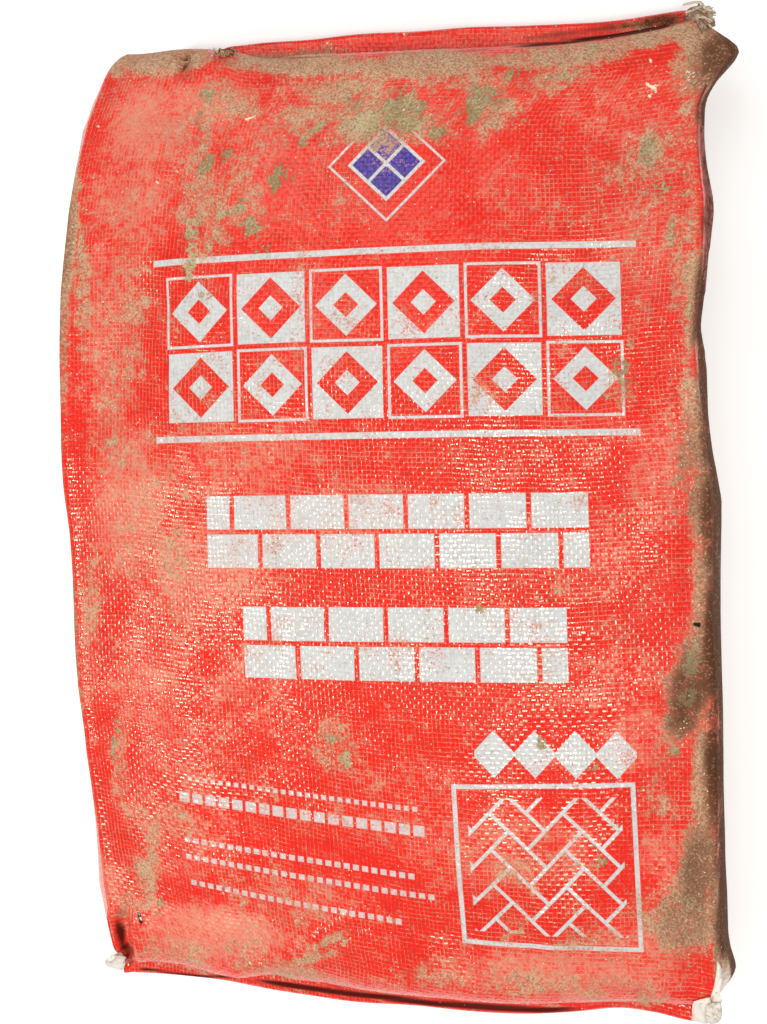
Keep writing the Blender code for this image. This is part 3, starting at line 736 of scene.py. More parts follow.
def add_layers(sack, grid, layout):
    """The UV maps, and the layers of dirt, painted shade and painted sheen that the cloth's material
    reads.
    """
    rows, columns, _ = grid.shape
    s, t, girth, panel = cloth_places(grid, layout)
    mesh = sack.data
    points = grid.reshape(-1, 3)
    pixels = to_pixels(grid)
    normals = normals_of(grid)
    on_face = np.zeros(columns, bool)
    on_face[:layout[0] + 1] = True
    around = np.arange(columns)
    right_edge = smooth(layout[0] + 0.62 * layout[1], layout[0] + 0.40 * layout[1], around)
    left_edge = smooth(columns - 0.45 * layout[1], columns - 0.25 * layout[1], around)
    seen = np.where(on_face, 1.0, np.where(around < columns // 2, right_edge, left_edge))
    seen = np.broadcast_to(seen, (rows, columns))
    warp = warp_at(grid[:, :, 0], grid[:, :, 1]) * smooth(-0.2, 0.6, normals[:, :, 2])
    loops = np.empty(len(mesh.loops), int)
    mesh.loops.foreach_get("vertex_index", loops)
    column = loops % columns
    row = loops // columns
    u = s[column]
    polygon_of = np.repeat(np.arange(len(mesh.polygons)), [p.loop_total for p in mesh.polygons])
    starts = np.array([p.loop_start for p in mesh.polygons])
    seam = layout[0] + layout[1] + layout[0] // 2
    first_columns = np.minimum.reduceat(column, starts)
    last_columns = np.maximum.reduceat(column, starts)
    past = first_columns >= seam
    wraps = (last_columns - first_columns) > columns // 2
    u = np.where(past[polygon_of] | wraps[polygon_of], np.where(column >= seam, u - girth, u), u)
    cloth_map = mesh.uv_layers.new(name="cloth")
    v = t[row] + warp.reshape(-1)[loops]
    cloth_map.data.foreach_set("uv", np.stack([u, v], 1).astype(np.float32).ravel())
    print_map = mesh.uv_layers.new(name="print")
    placed = np.stack([points[:, 0] - PRINT_X, points[:, 1] + warp.reshape(-1) - PRINT_Y], 1)[loops]
    print_map.data.foreach_set("uv", placed.astype(np.float32).ravel())

    def store(name, values):
        layer = mesh.attributes.new(name, "FLOAT", "POINT")
        layer.data.foreach_set("value", np.clip(values, 0, 1.2).astype(np.float32).ravel())

    low = smooth(0.075, 0.0, grid[:, :, 2])
    away = 1 - seen
    bare = painted(BARE, pixels)
    side = smooth(layout[0], layout[0] + 3, around) * (around < layout[0] + layout[1]) * (1 - bare)
    # the upper part of the right side: less dust, and more painted shade
    rubbed_and_shaded = smooth(0.08, 0.14, grid[:, :, 1]) * smooth(0.26, 0.22, grid[:, :, 1])
    store("dust", np.maximum(np.maximum(painted(DUST, pixels), 0.1) * seen + away * (0.42 + 0.25 * low),
                             (1.05 - 0.5 * rubbed_and_shaded) * side))
    store("mud", painted(MUD, pixels) * seen)
    # powder film, with a painted sheen in two places
    store("film_and_sheen_layer", np.maximum(painted(FILM_AND_SHEEN_PATCHES, pixels), 0.12) * seen + away * 0.4)
    # stains and painted shade: the sides in shadow, and darker low down on the parts turned from the
    # camera
    store("stain_and_shade", np.maximum(painted(STAINS_AND_PAINTED_SHADE, pixels) * seen + away * 0.25 * low,
                             (0.95 + 0.25 * rubbed_and_shaded) * side))
    view = EYE - grid
    facing = (normals * view).sum(axis=2) / np.linalg.norm(view, axis=2)
    from_end = np.minimum(np.arange(rows), rows - 1 - np.arange(rows))
    # painted shadow in the gaps, kept to the hems' rows and where the face turns from the camera, and
    # painted shadow in the tucks
    in_gap_shadow = np.maximum(smooth(0.6, 0.3, facing), from_end[:, None] < HEM_ROWS)
    store("gap_shadow", np.maximum(ruled(GAP_SHADOWS, pixels) * in_gap_shadow, ruled(TUCK_SHADOWS, pixels)) * on_face[None, :])
    store("crust", painted(CRUSTED, pixels) * seen)
    store("bare", bare * seen)
    printed_at = np.stack([grid[:, :, 0] - PRINT_X, grid[:, :, 1] + warp - PRINT_Y], 2)
    return panel, (pixels[:, on_face], printed_at[:, on_face], grid[:, on_face, 2:])


def nearest(spots, px, py, count):
    """The points of the face that lie nearest to a pixel of the photograph."""
    pixels = spots[0].reshape(-1, 2)
    return np.argsort(np.hypot(pixels[:, 0] - px, pixels[:, 1] - py))[:count]


def print_place(spots, px, py):
    """Where in the print the photograph's pixel falls, from the four nearest points of the face."""
    pixels, places = spots[0].reshape(-1, 2), spots[1].reshape(-1, 2)
    near = nearest(spots, px, py, 4)
    offsets = np.column_stack([pixels[near], np.ones(4)])
    fit = np.linalg.lstsq(offsets, places[near], rcond=None)[0]
    return tuple(float(v) for v in np.array([px, py, 1.0]) @ fit)


# What the materials are built from


class Value:
    """A socket in a node tree that takes part in plain arithmetic."""

    def __init__(self, socket):
        self.socket = socket

    def __add__(self, other):
        return calc("ADD", self, other)

    __radd__ = __add__

    def __sub__(self, other):
        return calc("SUBTRACT", self, other)

    def __rsub__(self, other):
        return calc("SUBTRACT", other, self)

    def __mul__(self, other):
        return calc("MULTIPLY", self, other)

    __rmul__ = __mul__

    def __truediv__(self, other):
        return calc("DIVIDE", self, other)


TREE = []
# Noise keeps close to the middle of its range, so it is stretched this many times
NOISE_STRETCH = 5.0


def node(kind, **settings):
    made = TREE[-1].nodes.new(kind)
    for name, value in settings.items():
        setattr(made, name, value)
    return made


def feed(socket, value):
    if isinstance(value, Value):
        TREE[-1].links.new(value.socket, socket)
    elif isinstance(value, (tuple, list)) and len(value) == 3 and socket.type == "RGBA":
        socket.default_value = (*value, 1.0)
    else:
        socket.default_value = value


def calc(kind, *values):
    made = node("ShaderNodeMath", operation=kind)
    for socket, value in zip(made.inputs, values):
        feed(socket, value)
    return Value(made.outputs[0])


least, most = partial(calc, "MINIMUM"), partial(calc, "MAXIMUM")
size, whole, rest_of = partial(calc, "ABSOLUTE"), partial(calc, "FLOOR"), partial(calc, "FRACT")


def step_up(low, high, value):
    """0 below low, 1 above high and smooth in between; the other way round if high is lower."""
    made = node("ShaderNodeMapRange", interpolation_type="SMOOTHSTEP")
    feed(made.inputs["Value"], value)
    for name, number in zip(("From Min", "From Max"), (low, high)):
        feed(made.inputs[name], number)
    return Value(made.outputs[0])


def place(x, y, z=0.0):
    made = node("ShaderNodeCombineXYZ")
    for socket, value in zip(made.inputs, (x, y, z)):
        feed(socket, value)
    return Value(made.outputs[0])


def uv_of(name):
    parts = node("ShaderNodeSeparateXYZ")
    TREE[-1].links.new(node("ShaderNodeUVMap", uv_map=name).outputs[0], parts.inputs[0])
    return Value(parts.outputs[0]), Value(parts.outputs[1])


def layer(name):
    return Value(node("ShaderNodeAttribute", attribute_name=name).outputs["Fac"])


def noise(dimensions, at, scale, detail, rough):
    made = node("ShaderNodeTexNoise", noise_dimensions=dimensions)
    feed(made.inputs["Vector"], at)
    for name, number in (("Scale", scale), ("Detail", detail), ("Roughness", rough)):
        feed(made.inputs[name], number)
    return Value(made.outputs[0])


def cloud(at, scale, detail=3.0, rough=0.55):
    return noise("3D", at, scale, detail, rough)


def swing(x, y, scale, detail=2.0, rough=0.6):
    """Flat noise stretched so that it swings between about -1 and 1."""
    return (noise("2D", place(x, y), scale, detail, rough) - 0.5) * NOISE_STRETCH


def grains(x, y, scale):
    """(distance to the nearest grain's middle, that grain's own random number)."""
    made = node("ShaderNodeTexVoronoi", voronoi_dimensions="2D", feature="F1")
    feed(made.inputs["Vector"], place(x, y))
    feed(made.inputs["Scale"], scale)
    parts = node("ShaderNodeSeparateColor")
    TREE[-1].links.new(made.outputs["Color"], parts.inputs[0])
    return Value(made.outputs["Distance"]), Value(parts.outputs[0])


def dice(at):
    made = node("ShaderNodeTexWhiteNoise", noise_dimensions="3D")
    feed(made.inputs["Vector"], at)
    return Value(made.outputs[0])


def blend_colour(share, a, b):
    made = node("ShaderNodeMix", data_type="RGBA")
    feed(made.inputs[0], share)
    feed(made.inputs[6], a)
    feed(made.inputs[7], b)
    return Value(made.outputs[2])


def linear(r, g, b):
    """A colour given as the screen shows it, 0 to 255, in the shader's own scale."""
    return tuple(c / 255 / 12.92 if c / 255 <= 0.04045 else ((c / 255 + 0.055) / 1.055) ** 2.4
                 for c in (r, g, b))


def turned(x, y, cx, cy, degrees):
    c, s = math.cos(math.radians(degrees)), math.sin(math.radians(degrees))
    dx, dy = x - cx, y - cy
    return dx * c + dy * s, dy * c - dx * s


# Half the width of an ink edge, and what one pixel of the photograph covers on the face
EDGE = 0.0003
PIXEL = 0.00059


def block(x, y, half_x, half_y):
    """How deep inside a box round 0, 0 a place is: above 0 inside."""
    return least(half_x - size(x), half_y - size(y))


def from_middle(count, pitch):
    """How far a place lies from the middle of its cell, given the place as a count of cells."""
    return (rest_of(count) - 0.5) * pitch


def inked(depth):
    return step_up(-EDGE, EDGE, depth)


def outline(depth, line):
    return inked(line / 2 - size(depth))


# The print in metres, y upwards. A mark's place is its middle's, and a half is half its width.
# A lozenge: its outer line, its white ground and four blue tiles with gaps between them.
LOZENGE_AT = (0.0107, 0.2055)
LOZENGE_HALF, LOZENGE_WHITE, LOZENGE_BLUE, LOZENGE_GAP = 0.0245, 0.0165, 0.0145, 0.0010
LOZENGE_LINE = 0.0014
# A band of two rows of six tiles, between two bars
BAND_AT, BAND_CELL, BAND_COLUMNS = (0.0085, 0.0985), 0.0462, 6
BAR_HALF, BAR_THICK, BAR_UP = 0.146, 0.0019, 0.0545
TILE_HALF, TILE_LINE = 0.0212, 0.0016
TILE_DIAMOND, TILE_CORE = 0.0185, 0.0075
# Two patches of bricks, each as (its place, its length in bricks)
BRICK_PATCHES = (((0.0095, -0.0125), 6.5), ((0.0135, -0.0790), 5.5))
BRICK_PITCH, BRICK_COURSE, BRICK_HALF = 0.0356, 0.0232, (0.0163, 0.0101)
BRICK_TRIM, BRICK_REACH = 0.0016, 0.03
# A row of four small diamonds, a little taller than wide
DIAMONDS_AT, DIAMOND_PITCH, DIAMOND_HALF = (0.101, -0.1425), 0.0235, 0.0128
DIAMOND_SQUEEZE, DIAMONDS_HALF = 0.92, (0.0465, 0.03)
# A framed panel of herringbone tiles, each twice as long as wide
FRAME_AT, FRAME_TURN = (0.0945, -0.2085), 1.5
FRAME_HALF, FRAME_LINE = (0.0515, 0.0475), 0.0027
LAID_HALF, LAID_TILE, LAID_LINE = (0.0445, 0.0405), 0.0150, 0.0021
# Rows of small squares: (height, half a square, left end, how many), their gap and their ink
SQUARE_ROWS = ((-0.1775, 0.0015, -0.124, 29), (-0.1905, 0.0033, -0.130, 18),
               (-0.2195, 0.0018, -0.128, 26), (-0.2315, 0.0018, -0.128, 28),
               (-0.2500, 0.0018, -0.126, 24))
SQUARE_GAP, SQUARE_INK = 0.0020, 0.85


def lozenge(x, y):
    """(white ink, blue ink) of a frame round four blue tiles, standing on a corner."""
    dx, dy = turned(x, y, *LOZENGE_AT, 45)
    white = outline(block(dx, dy, LOZENGE_HALF, LOZENGE_HALF), LOZENGE_LINE)
    blue = inked(block(dx, dy, LOZENGE_BLUE, LOZENGE_BLUE))
    blue = blue * inked(size(dx) - LOZENGE_GAP) * inked(size(dy) - LOZENGE_GAP)
    return most(white, inked(block(dx, dy, LOZENGE_WHITE, LOZENGE_WHITE))), blue


def tile_band(x, y):
    """Two kinds of patterned tile by turns, between two bars."""
    bx, by = x - BAND_AT[0], y - BAND_AT[1]
    bars = inked(block(bx, size(by) - BAR_UP, BAR_HALF, BAR_THICK))
    i, j = whole(bx / BAND_CELL), whole(by / BAND_CELL)
    fx, fy = from_middle(bx / BAND_CELL, BAND_CELL), from_middle(by / BAND_CELL, BAND_CELL)
    odd = rest_of((i + j) * 0.5) * 2.0
    diamond = TILE_DIAMOND - (size(fx) + size(fy))
    core = TILE_CORE - (size(fx) + size(fy))
    square = block(fx, fy, TILE_HALF, TILE_HALF)
    filled = inked(square) * (1 - inked(diamond)) + inked(core)
    open_tile = inked(diamond) * (1 - inked(core)) + outline(square, TILE_LINE)
    tiles = filled * (1 - odd) + open_tile * odd
    return most(bars, tiles * inked(block(bx, by, BAND_COLUMNS / 2 * BAND_CELL, BAND_CELL)))


def bricks(x, y, at, count):
    """Two courses of bricks, the upper one set off by half a brick."""
    rx, ry = x - at[0], y - at[1]
    upper = step_up(-0.0001, 0.0001, ry)
    fx = from_middle(rx / BRICK_PITCH + upper * 0.5 + count / 2, BRICK_PITCH)
    fy = size(ry) - BRICK_COURSE / 2
    ends = inked(block(rx, ry, count * BRICK_PITCH / 2 - BRICK_TRIM, BRICK_REACH))
    return inked(block(fx, fy, *BRICK_HALF)) * ends


def small_diamonds(x, y):
    """Four diamonds side by side."""
    rx, ry = x - DIAMONDS_AT[0], y - DIAMONDS_AT[1]
    fx = from_middle(rx / DIAMOND_PITCH + 2.0, DIAMOND_PITCH)
    depth = DIAMOND_HALF - (size(fx) + size(ry) * DIAMOND_SQUEEZE)
    return inked(depth) * inked(block(rx, ry, *DIAMONDS_HALF))


def herringbone_panel(x, y):
    """A frame round tiles that lie level and upright by turns, in steps of a quarter of a repeat."""
    fx, fy = turned(x, y, *FRAME_AT, FRAME_TURN)
    frame_line = outline(block(fx, fy, *FRAME_HALF), FRAME_LINE)
    gx, gy = turned(fx, fy, 0.0, 0.0, 45)
    cell_x, cell_y = whole(gx / LAID_TILE), whole(gy / LAID_TILE)
    in_x, in_y = gx / LAID_TILE - cell_x, gy / LAID_TILE - cell_y
    phase = rest_of((cell_x - cell_y) * 0.25) * 4.0
    lying = step_up(1.6, 1.4, phase)
    late = step_up(0.6, 0.9, phase) * lying
    high = step_up(2.6, 2.4, phase) * (1 - lying)
    long_way = (in_x + late) * lying + (in_y + high) * (1 - lying)
    short_way = in_y * lying + in_x * (1 - lying)
    tile = block((long_way - 1.0) * LAID_TILE, (short_way - 0.5) * LAID_TILE,
                 LAID_TILE, LAID_TILE / 2)
    tiles = outline(tile, LAID_LINE) * inked(block(fx, fy, *LAID_HALF))
    return most(frame_line, tiles)


def square_row(x, y, height, half, left, count):
    """A row of small squares in thin ink."""
    pitch = half * 2 + SQUARE_GAP
    along = from_middle((x - left) / pitch, pitch)
    reach = count * pitch / 2
    squares = inked(block(along, y - height, half, half)) * SQUARE_INK
    return squares * inked(reach - size(x - left - reach))


def printed_design(x, y):
    """(white ink, blue ink): plain patterns of tiles, at each place."""
    white, blue = lozenge(x, y)
    marks = [tile_band(x, y), small_diamonds(x, y), herringbone_panel(x, y)]
    marks += [bricks(x, y, *patch) for patch in BRICK_PATCHES]
    marks += [square_row(x, y, *row) for row in SQUARE_ROWS]
    for mark in marks:
        white = most(white, mark)
    return white, blue


def weave(u, v, x):
    """The woven tapes: (border lines, slope across, slope along, crossing's own number, corners)."""
    wander = swing(u, v, 55.0, 1.0)
    a, b = u / TAPE + wander * 0.10, v / COURSE + wander * 0.12
    i, j = whole(a), whole(b)
    fa, fb = rest_of(a) - 0.5, rest_of(b) - 0.5
    own = dice(place(i, j, 1.0))
    other = dice(place(i, j, 2.0))
    level_on_top = rest_of((i + j) * 0.5) * 2.0
    # borders show as broken pale lines, the upright ones more on the left and the level ones on the right
    rightwards = step_up(-0.16, 0.16, x)
    upright = step_up(0.34, 0.48, size(fa)) * step_up(-0.9, 0.7, swing(i * 0.37, v, 90.0)
                                                      - rightwards * 0.5 + 0.25)
    level = step_up(0.34, 0.48, size(fb)) * step_up(-0.9, 0.7, swing(u, j * 0.41, 90.0)
                                                    + rightwards * 0.6 - 0.3)
    line = most(upright, level)
    # each crossing is a small pillow, tilted its own way
    slope_u = fa * (0.46 - 0.40 * level_on_top) + (own - 0.5) * 0.09
    slope_v = fb * (0.20 + 0.20 * level_on_top) + (other - 0.5) * 0.10 + (1 - level_on_top) * 0.08
    pit = step_up(0.36, 0.47, size(fa)) * step_up(0.34, 0.47, size(fb))
    return line, slope_u, slope_v, own, pit


def principled(name):
    made = bpy.data.materials.new(name)
    made.use_nodes = True
    TREE.append(made.node_tree)
    return made, made.node_tree.nodes["Principled BSDF"]


def bump(height, distance, strength=1.0, onto=None):
    made = node("ShaderNodeBump")
    made.inputs["Distance"].default_value = distance
    made.inputs["Strength"].default_value = strength
    feed(made.inputs["Height"], height)
    if onto is not None:
        TREE[-1].links.new(onto.socket, made.inputs["Normal"])
    return Value(made.outputs[0])


RED = linear(233, 31, 20)
RED_DEEP = linear(190, 12, 7)
RED_LINE = linear(240, 140, 108)
WHITE_CLOTH = linear(226, 218, 204)
CLOTH_SHADE = linear(184, 172, 154)
WHITE_INK = linear(213, 218, 220)
WHITE_INK_DULL = linear(176, 176, 172)
BLUE_INK = linear(62, 46, 160)
BLUE_INK_DULL = linear(36, 28, 104)
DUST_COLOUR = linear(172, 128, 96)
# dust darkened as painted shade where the stain-and-shade layer is high
SHADED_DUST = linear(98, 48, 27)
DUST_DARK = linear(104, 78, 52)
DUST_LIGHT = linear(208, 176, 144)
MUD_COLOUR = linear(150, 132, 94)
MUD_PALE = linear(200, 180, 142)
# the powder film, and the painted sheen
FILM_AND_SHEEN_COLOUR = linear(226, 148, 124)
# dark stains, and painted shade
STAIN_AND_SHADE_COLOUR = linear(62, 34, 18)
CRUMB = linear(240, 228, 200)
HOLE = linear(24, 14, 8)
# the painted shadow in the gaps under the stuffed ends and in the tucks
GAP_SHADOW_COLOUR = linear(84, 16, 9)
HAZE = linear(196, 126, 96)
# painted shade in the pits where the tapes cross
PIT_SHADE_COLOUR = linear(150, 44, 26)
THREAD = linear(232, 224, 206)
THREAD_SHADE = linear(196, 180, 152)
KNOT_PALE = linear(226, 218, 206)
KNOT_YELLOW = linear(190, 160, 84)
KNOT_DARK = linear(44, 38, 34)
FRAYED, FRAYED_SOILED = linear(214, 196, 172), linear(140, 108, 82)
SCRAP, SCRAP_SOILED = linear(240, 235, 226), linear(190, 178, 158)
FLOOR_DARKER, FLOOR_LIGHTER = (0.86, 0.86, 0.86), (0.9, 0.9, 0.9)
FLOOR_GLOW = 0.3


def tangent_normal(slope_u, slope_v):
    """The surface turned by slopes along the cloth's two directions."""
    made = node("ShaderNodeNormalMap", space="TANGENT", uv_map="cloth")
    packed = node("ShaderNodeCombineXYZ")
    for socket, value in zip(packed.inputs, (0.5 - slope_u * 0.5, 0.5 - slope_v * 0.5, 1.0)):
        feed(socket, value)
    TREE[-1].links.new(packed.outputs[0], made.inputs["Color"])
    return Value(made.outputs[0])


def marked(x, y, spots, lines, ragged):
    """1 on each short line given in the photograph's pixels."""
    found = 0.0
    for start, end, half in lines:
        ax, ay = print_place(spots, *start)
        bx, by = print_place(spots, *end)
        length = math.hypot(bx - ax, by - ay)
        ux, uy = (bx - ax) / length, (by - ay) / length
        dx, dy = x - ax, y - ay
        past = dx * ux + dy * uy
        over = past - least(most(past, 0.0), length)
        aside = dy * ux - dx * uy
        far = calc("SQRT", over * over + aside * aside)
        found = most(step_up(half * PIXEL, half * PIXEL * 0.55, far + ragged), found)
    return found


# The layers that add_layers stores on the cloth
LAYERS = ("dust", "mud", "film_and_sheen_layer", "stain_and_shade", "crust", "bare", "gap_shadow")


def cloth_material(panel, spots):
    made, shader = principled("printed_cloth_look")
    u, v = uv_of("cloth")
    x, y = uv_of("print")
    line, slope_u, slope_v, own, pit = weave(u, v, x)
    dust, mud, film_and_sheen_layer, stain_and_shade, crust, bare, gap_shadow = (layer(name) for name in LAYERS)

    wide = swing(u, v, 11.0, 2.0)
    medium = swing(u + 3.0, v, 46.0, 3.0, 0.7)
    middling = swing(u + 1.0, v + 2.0, 170.0, 4.0, 0.78)
    fine = swing(u, v + 5.0, 620.0, 2.0, 0.7)
    grain_own = grains(u, v, 1250.0)[1]

    # the red ink on white cloth
    deep = step_up(0.1, 1.2, own * 0.7 + fine * 0.25 + middling * 0.15 + wide * 0.12)
    lined = line * step_up(-1.1, 0.9, fine + medium * 0.4 + wide * 0.6 + film_and_sheen_layer * 1.2)
    red = blend_colour(lined * 0.66, blend_colour(deep, RED, RED_DEEP), RED_LINE)
    half = panel / 2
    wrap = step_up(0.0, 0.05, v) * 0.018 + 0.0115
    printed = step_up(-half - 0.0270, -half - 0.0258, u) * step_up(0.0010, -0.0010, u - half - wrap)
    printed = most(printed, step_up(half + SIDE_PATH - 0.001, half + SIDE_PATH, size(u)))
    printed = printed * step_up(0.62, 0.5, bare + fine * 0.06)
    cloth = blend_colour(own * 0.3 + line * 0.3, WHITE_CLOTH, CLOTH_SHADE)

    # the print on the face
    white, blue = printed_design(x, y)
    on_face = step_up(-half + 0.004, -half + 0.006, u) * step_up(half - 0.004, half - 0.006, u)
    on_face = on_face * step_up(0.275, 0.270, size(y))
    worn = 1 - step_up(0.5, 1.1, medium * 0.6 + fine * 0.7 + line * 0.25) * 0.7
    white_ink = blend_colour(own * 0.35 + line * 0.3 + fine * 0.2, WHITE_INK, WHITE_INK_DULL)
    blue_ink = blend_colour(own * 0.5 + fine * 0.3, BLUE_INK, BLUE_INK_DULL)

    # the pale film of powder, which keeps off the white ink and in two places low on the face is a
    # painted sheen, and the haze at the rim of the dust
    film_and_sheen = step_up(0.12, 1.10, film_and_sheen_layer + medium * 0.16 + middling * 0.20 + fine * 0.16 + lined * 0.42
                   + (own - 0.5) * 0.28)
    film_and_sheen = film_and_sheen * (1 - white * on_face * 0.75)
    haze = step_up(0.15, 1.0, dust + medium * 0.16 + middling * 0.14 + wide * 0.10 + line * 0.15)
    # brown dust, in fine grains that gather in the weave, and painted shade in the pits at the tapes'
    # corners
    gather = (dust + medium * 0.26 + middling * 0.26 + wide * 0.12 + fine * 0.12 + line * 0.12
              + (own - 0.5) * 0.16)
    dusty = step_up(0.34, 0.92, gather)
    tone = blend_colour(step_up(-0.9, 1.0, fine + medium * 0.4), DUST_COLOUR, DUST_LIGHT)
    # the dust darker, as painted shade, where the stain-and-shade layer is high
    tone = blend_colour(stain_and_shade * 0.85, tone, SHADED_DUST)
    dark_grain = step_up(0.80, 0.90, grain_own + dust * 0.06) * step_up(0.15, 0.65, gather)
    pale_grain = step_up(0.16, 0.08, grain_own) * step_up(0.1, 0.7, gather)
    pit_shade = pit * step_up(0.2, 0.9, film_and_sheen + dusty * 0.4 + fine * 0.25)
    # dried mud
    caked = step_up(0.50, 0.58, mud + middling * 0.46 + fine * 0.12)
    mud_tone = blend_colour(step_up(-0.8, 0.8, fine * 0.6 + medium * 0.5 + wide * 0.4),
                            MUD_COLOUR, MUD_PALE)
    mud_tone = blend_colour(step_up(0.80, 0.9, grain_own) * 0.45, mud_tone, DUST_DARK)
    # dark stains, and painted shade: the right side in shadow, the ear, the top hem's right end, the
    # lower left creases, the left edge and low down on the parts turned from the camera
    stained_and_shaded = step_up(0.35, 1.1, stain_and_shade + medium * 0.2 + fine * 0.12)
    # pale crumbs of powder, many in the crusts and a few anywhere
    crumb_far, crumb_own = grains(u + 7.0, v, 600.0)
    crusty = crumb_own * 0.62 + crust * 0.62 + dust * 0.02 + fine * 0.03
    crumbs = most(step_up(0.46, 0.34, crumb_far) * step_up(0.985, 1.01, crusty),
                  step_up(0.26, 0.18, crumb_far) * step_up(0.988, 0.993, crumb_own + fine * 0.002))
    ragged = fine * 0.0003

    # each colour over the ones before it: how much of it there is, and the colour
    colour = cloth
    for share, over in (
            (printed, red),
            (white * on_face * worn, white_ink),
            (blue * on_face * worn, blue_ink),
            (film_and_sheen * 0.85, FILM_AND_SHEEN_COLOUR),
            (haze * 0.5, HAZE),
            (dusty * 0.92, tone),
            (dark_grain * 0.5, DUST_DARK),
            (pale_grain * 0.6, DUST_LIGHT),
            (pit_shade * 0.5, PIT_SHADE_COLOUR),
            (caked * 0.96, mud_tone),
            # stains and painted shade
            (stained_and_shaded * 0.7, STAIN_AND_SHADE_COLOUR),
            # painted shadow in the gaps and tucks
            (step_up(0.15, 0.75, gap_shadow + fine * 0.06), GAP_SHADOW_COLOUR),
            (crumbs * 0.9, CRUMB),
            # painted shadow under the ear's edge
            (marked(x, y, spots, EAR_EDGE_SHADOWS, ragged) * 0.8, STAIN_AND_SHADE_COLOUR),
            (marked(x, y, spots, HOLES, ragged), HOLE),
            (marked(x, y, spots, PALE_BITS, (fine + middling) * 0.0005), CRUMB)):
        colour = blend_colour(share, colour, over)
    feed(shader.inputs["Base Color"], colour)

    # dirt and the painted gap shadows are dull, and bare ink and cloth shine
    dull = least(film_and_sheen * 0.25 + dusty * 0.75 + caked + stained_and_shaded * 0.5 + crumbs + gap_shadow, 1.0)
    feed(shader.inputs["Roughness"], (0.14 + own * 0.08) * (1 - dull) + dull * 0.9)
    feed(shader.inputs["Specular IOR Level"], 0.62 - dull * 0.45)
    shader.inputs["Specular Tint"].default_value = (1.0, 0.78, 0.64, 1.0)
    calm = 1 - dull * 0.75
    lean_u = swing(u + 9.0, v, 26.0, 1.0) * 0.07
    lean_v = swing(u, v + 9.0, 34.0, 1.0) * 0.09
    woven = tangent_normal((slope_u + lean_u) * calm, (slope_v + lean_v) * calm)
    lumps = caked * (1.0 + fine * 0.5) + dust * fine * 0.25
    feed(shader.inputs["Normal"], bump(lumps, 0.00035, 0.7, onto=woven))
    TREE.pop()
    return made


def bit_material(name, streaks, paint, roughness, depth):
    """The look of a thread or a scrap: paint(place, streak) colours it, and its streaks stand out."""
    made, shader = principled(name)
    at = Value(node("ShaderNodeTexCoord").outputs["Object"])
    streak = cloud(at, *streaks)
    feed(shader.inputs["Base Color"], paint(at, streak))
    shader.inputs["Roughness"].default_value = roughness
    TREE[-1].links.new(bump(streak, depth).socket, shader.inputs["Normal"])
    TREE.pop()
    return made


def thread_paint(at, streak):
    return blend_colour(step_up(0.35, 0.7, streak), THREAD_SHADE, THREAD)


def knot_paint(at, streak):
    shade = layer("shade")
    colour = blend_colour(step_up(0.2, 0.4, shade), KNOT_PALE, KNOT_YELLOW)
    colour = blend_colour(step_up(0.6, 0.8, shade), colour, KNOT_DARK)
    return blend_colour(streak * 0.5, colour, STAIN_AND_SHADE_COLOUR)


def scrap_paint(pale, soiled):
    def paint(at, streak):
        blotch = cloud(at, 260.0, 5.0, 0.7)
        colour = blend_colour(step_up(0.3, 0.9, layer("shade") + (blotch - 0.5) * 3.0), pale, soiled)
        return blend_colour(step_up(0.55, 0.8, streak) * 0.35, colour, STAIN_AND_SHADE_COLOUR)

    return paint


def floor_material():
    made, shader = principled("floor_look")
    at = Value(node("ShaderNodeTexCoord").outputs["Object"])
    tone = cloud(at, 3.0, 3.0)
    feed(shader.inputs["Base Color"], blend_colour(tone, FLOOR_DARKER, FLOOR_LIGHTER))
    shader.inputs["Roughness"].default_value = 0.8
    shader.inputs["Specular IOR Level"].default_value = 0.1
    shader.inputs["Emission Color"].default_value = (1.0, 1.0, 1.0, 1.0)
    shader.inputs["Emission Strength"].default_value = FLOOR_GLOW
    TREE.pop()
    return made


# The threads and the loose bits


def tube(path, radius, sides=6, flat=1.0):
    """A round or flattened strand along a path, with its ends capped."""
    path = np.asarray(path, float)
    along = np.gradient(path, axis=0)
    along /= np.maximum(np.linalg.norm(along, axis=1, keepdims=True), 1e-9)
    side = np.cross(along, (0.1, 0.2, 1.0))
    side /= np.maximum(np.linalg.norm(side, axis=1, keepdims=True), 1e-9)
    top = np.cross(side, along)
    angle = np.arange(sides) * 2 * math.pi / sides
    radii = np.broadcast_to(np.asarray(radius, float), (len(path),))
    spokes = (np.cos(angle)[None, :, None] * side[:, None]
              + flat * np.sin(angle)[None, :, None] * top[:, None])
    rings = path[:, None] + radii[:, None, None] * spokes
    faces = grid_faces(len(path), sides, True).tolist()
    faces += [list(range(sides))[::-1], [(len(path) - 1) * sides + k for k in range(sides)]]
    return rings.reshape(-1, 3), faces


def joined(name, parts):
    """One mesh from several (points, faces) parts."""
    points, faces, base = [], [], 0
    for part_points, part_faces in parts:
        points.append(np.asarray(part_points))
        faces += [[int(v) + base for v in f] for f in part_faces]
        base += len(part_points)
    made = mesh_object(name, np.concatenate(points), faces)
    made.data.shade_smooth()
    return made


# A seam's stitch length, how far in from the hem's edge it runs, its loops, how its threads wave,
# and their radii
STITCH, STITCH_STEPS = 0.006, 12
SEAM_INSET = 0.0085
SEAM_ENDS = (-0.118, 0.178)
LOOP_HALF, LOOP_DROP = 0.0007, 0.0006
NEEDLE_WAVE, LOOP_WAVE = 0.0002, 0.0003
NEEDLE_THREAD, LOOP_THREAD = 0.0005, 0.0004


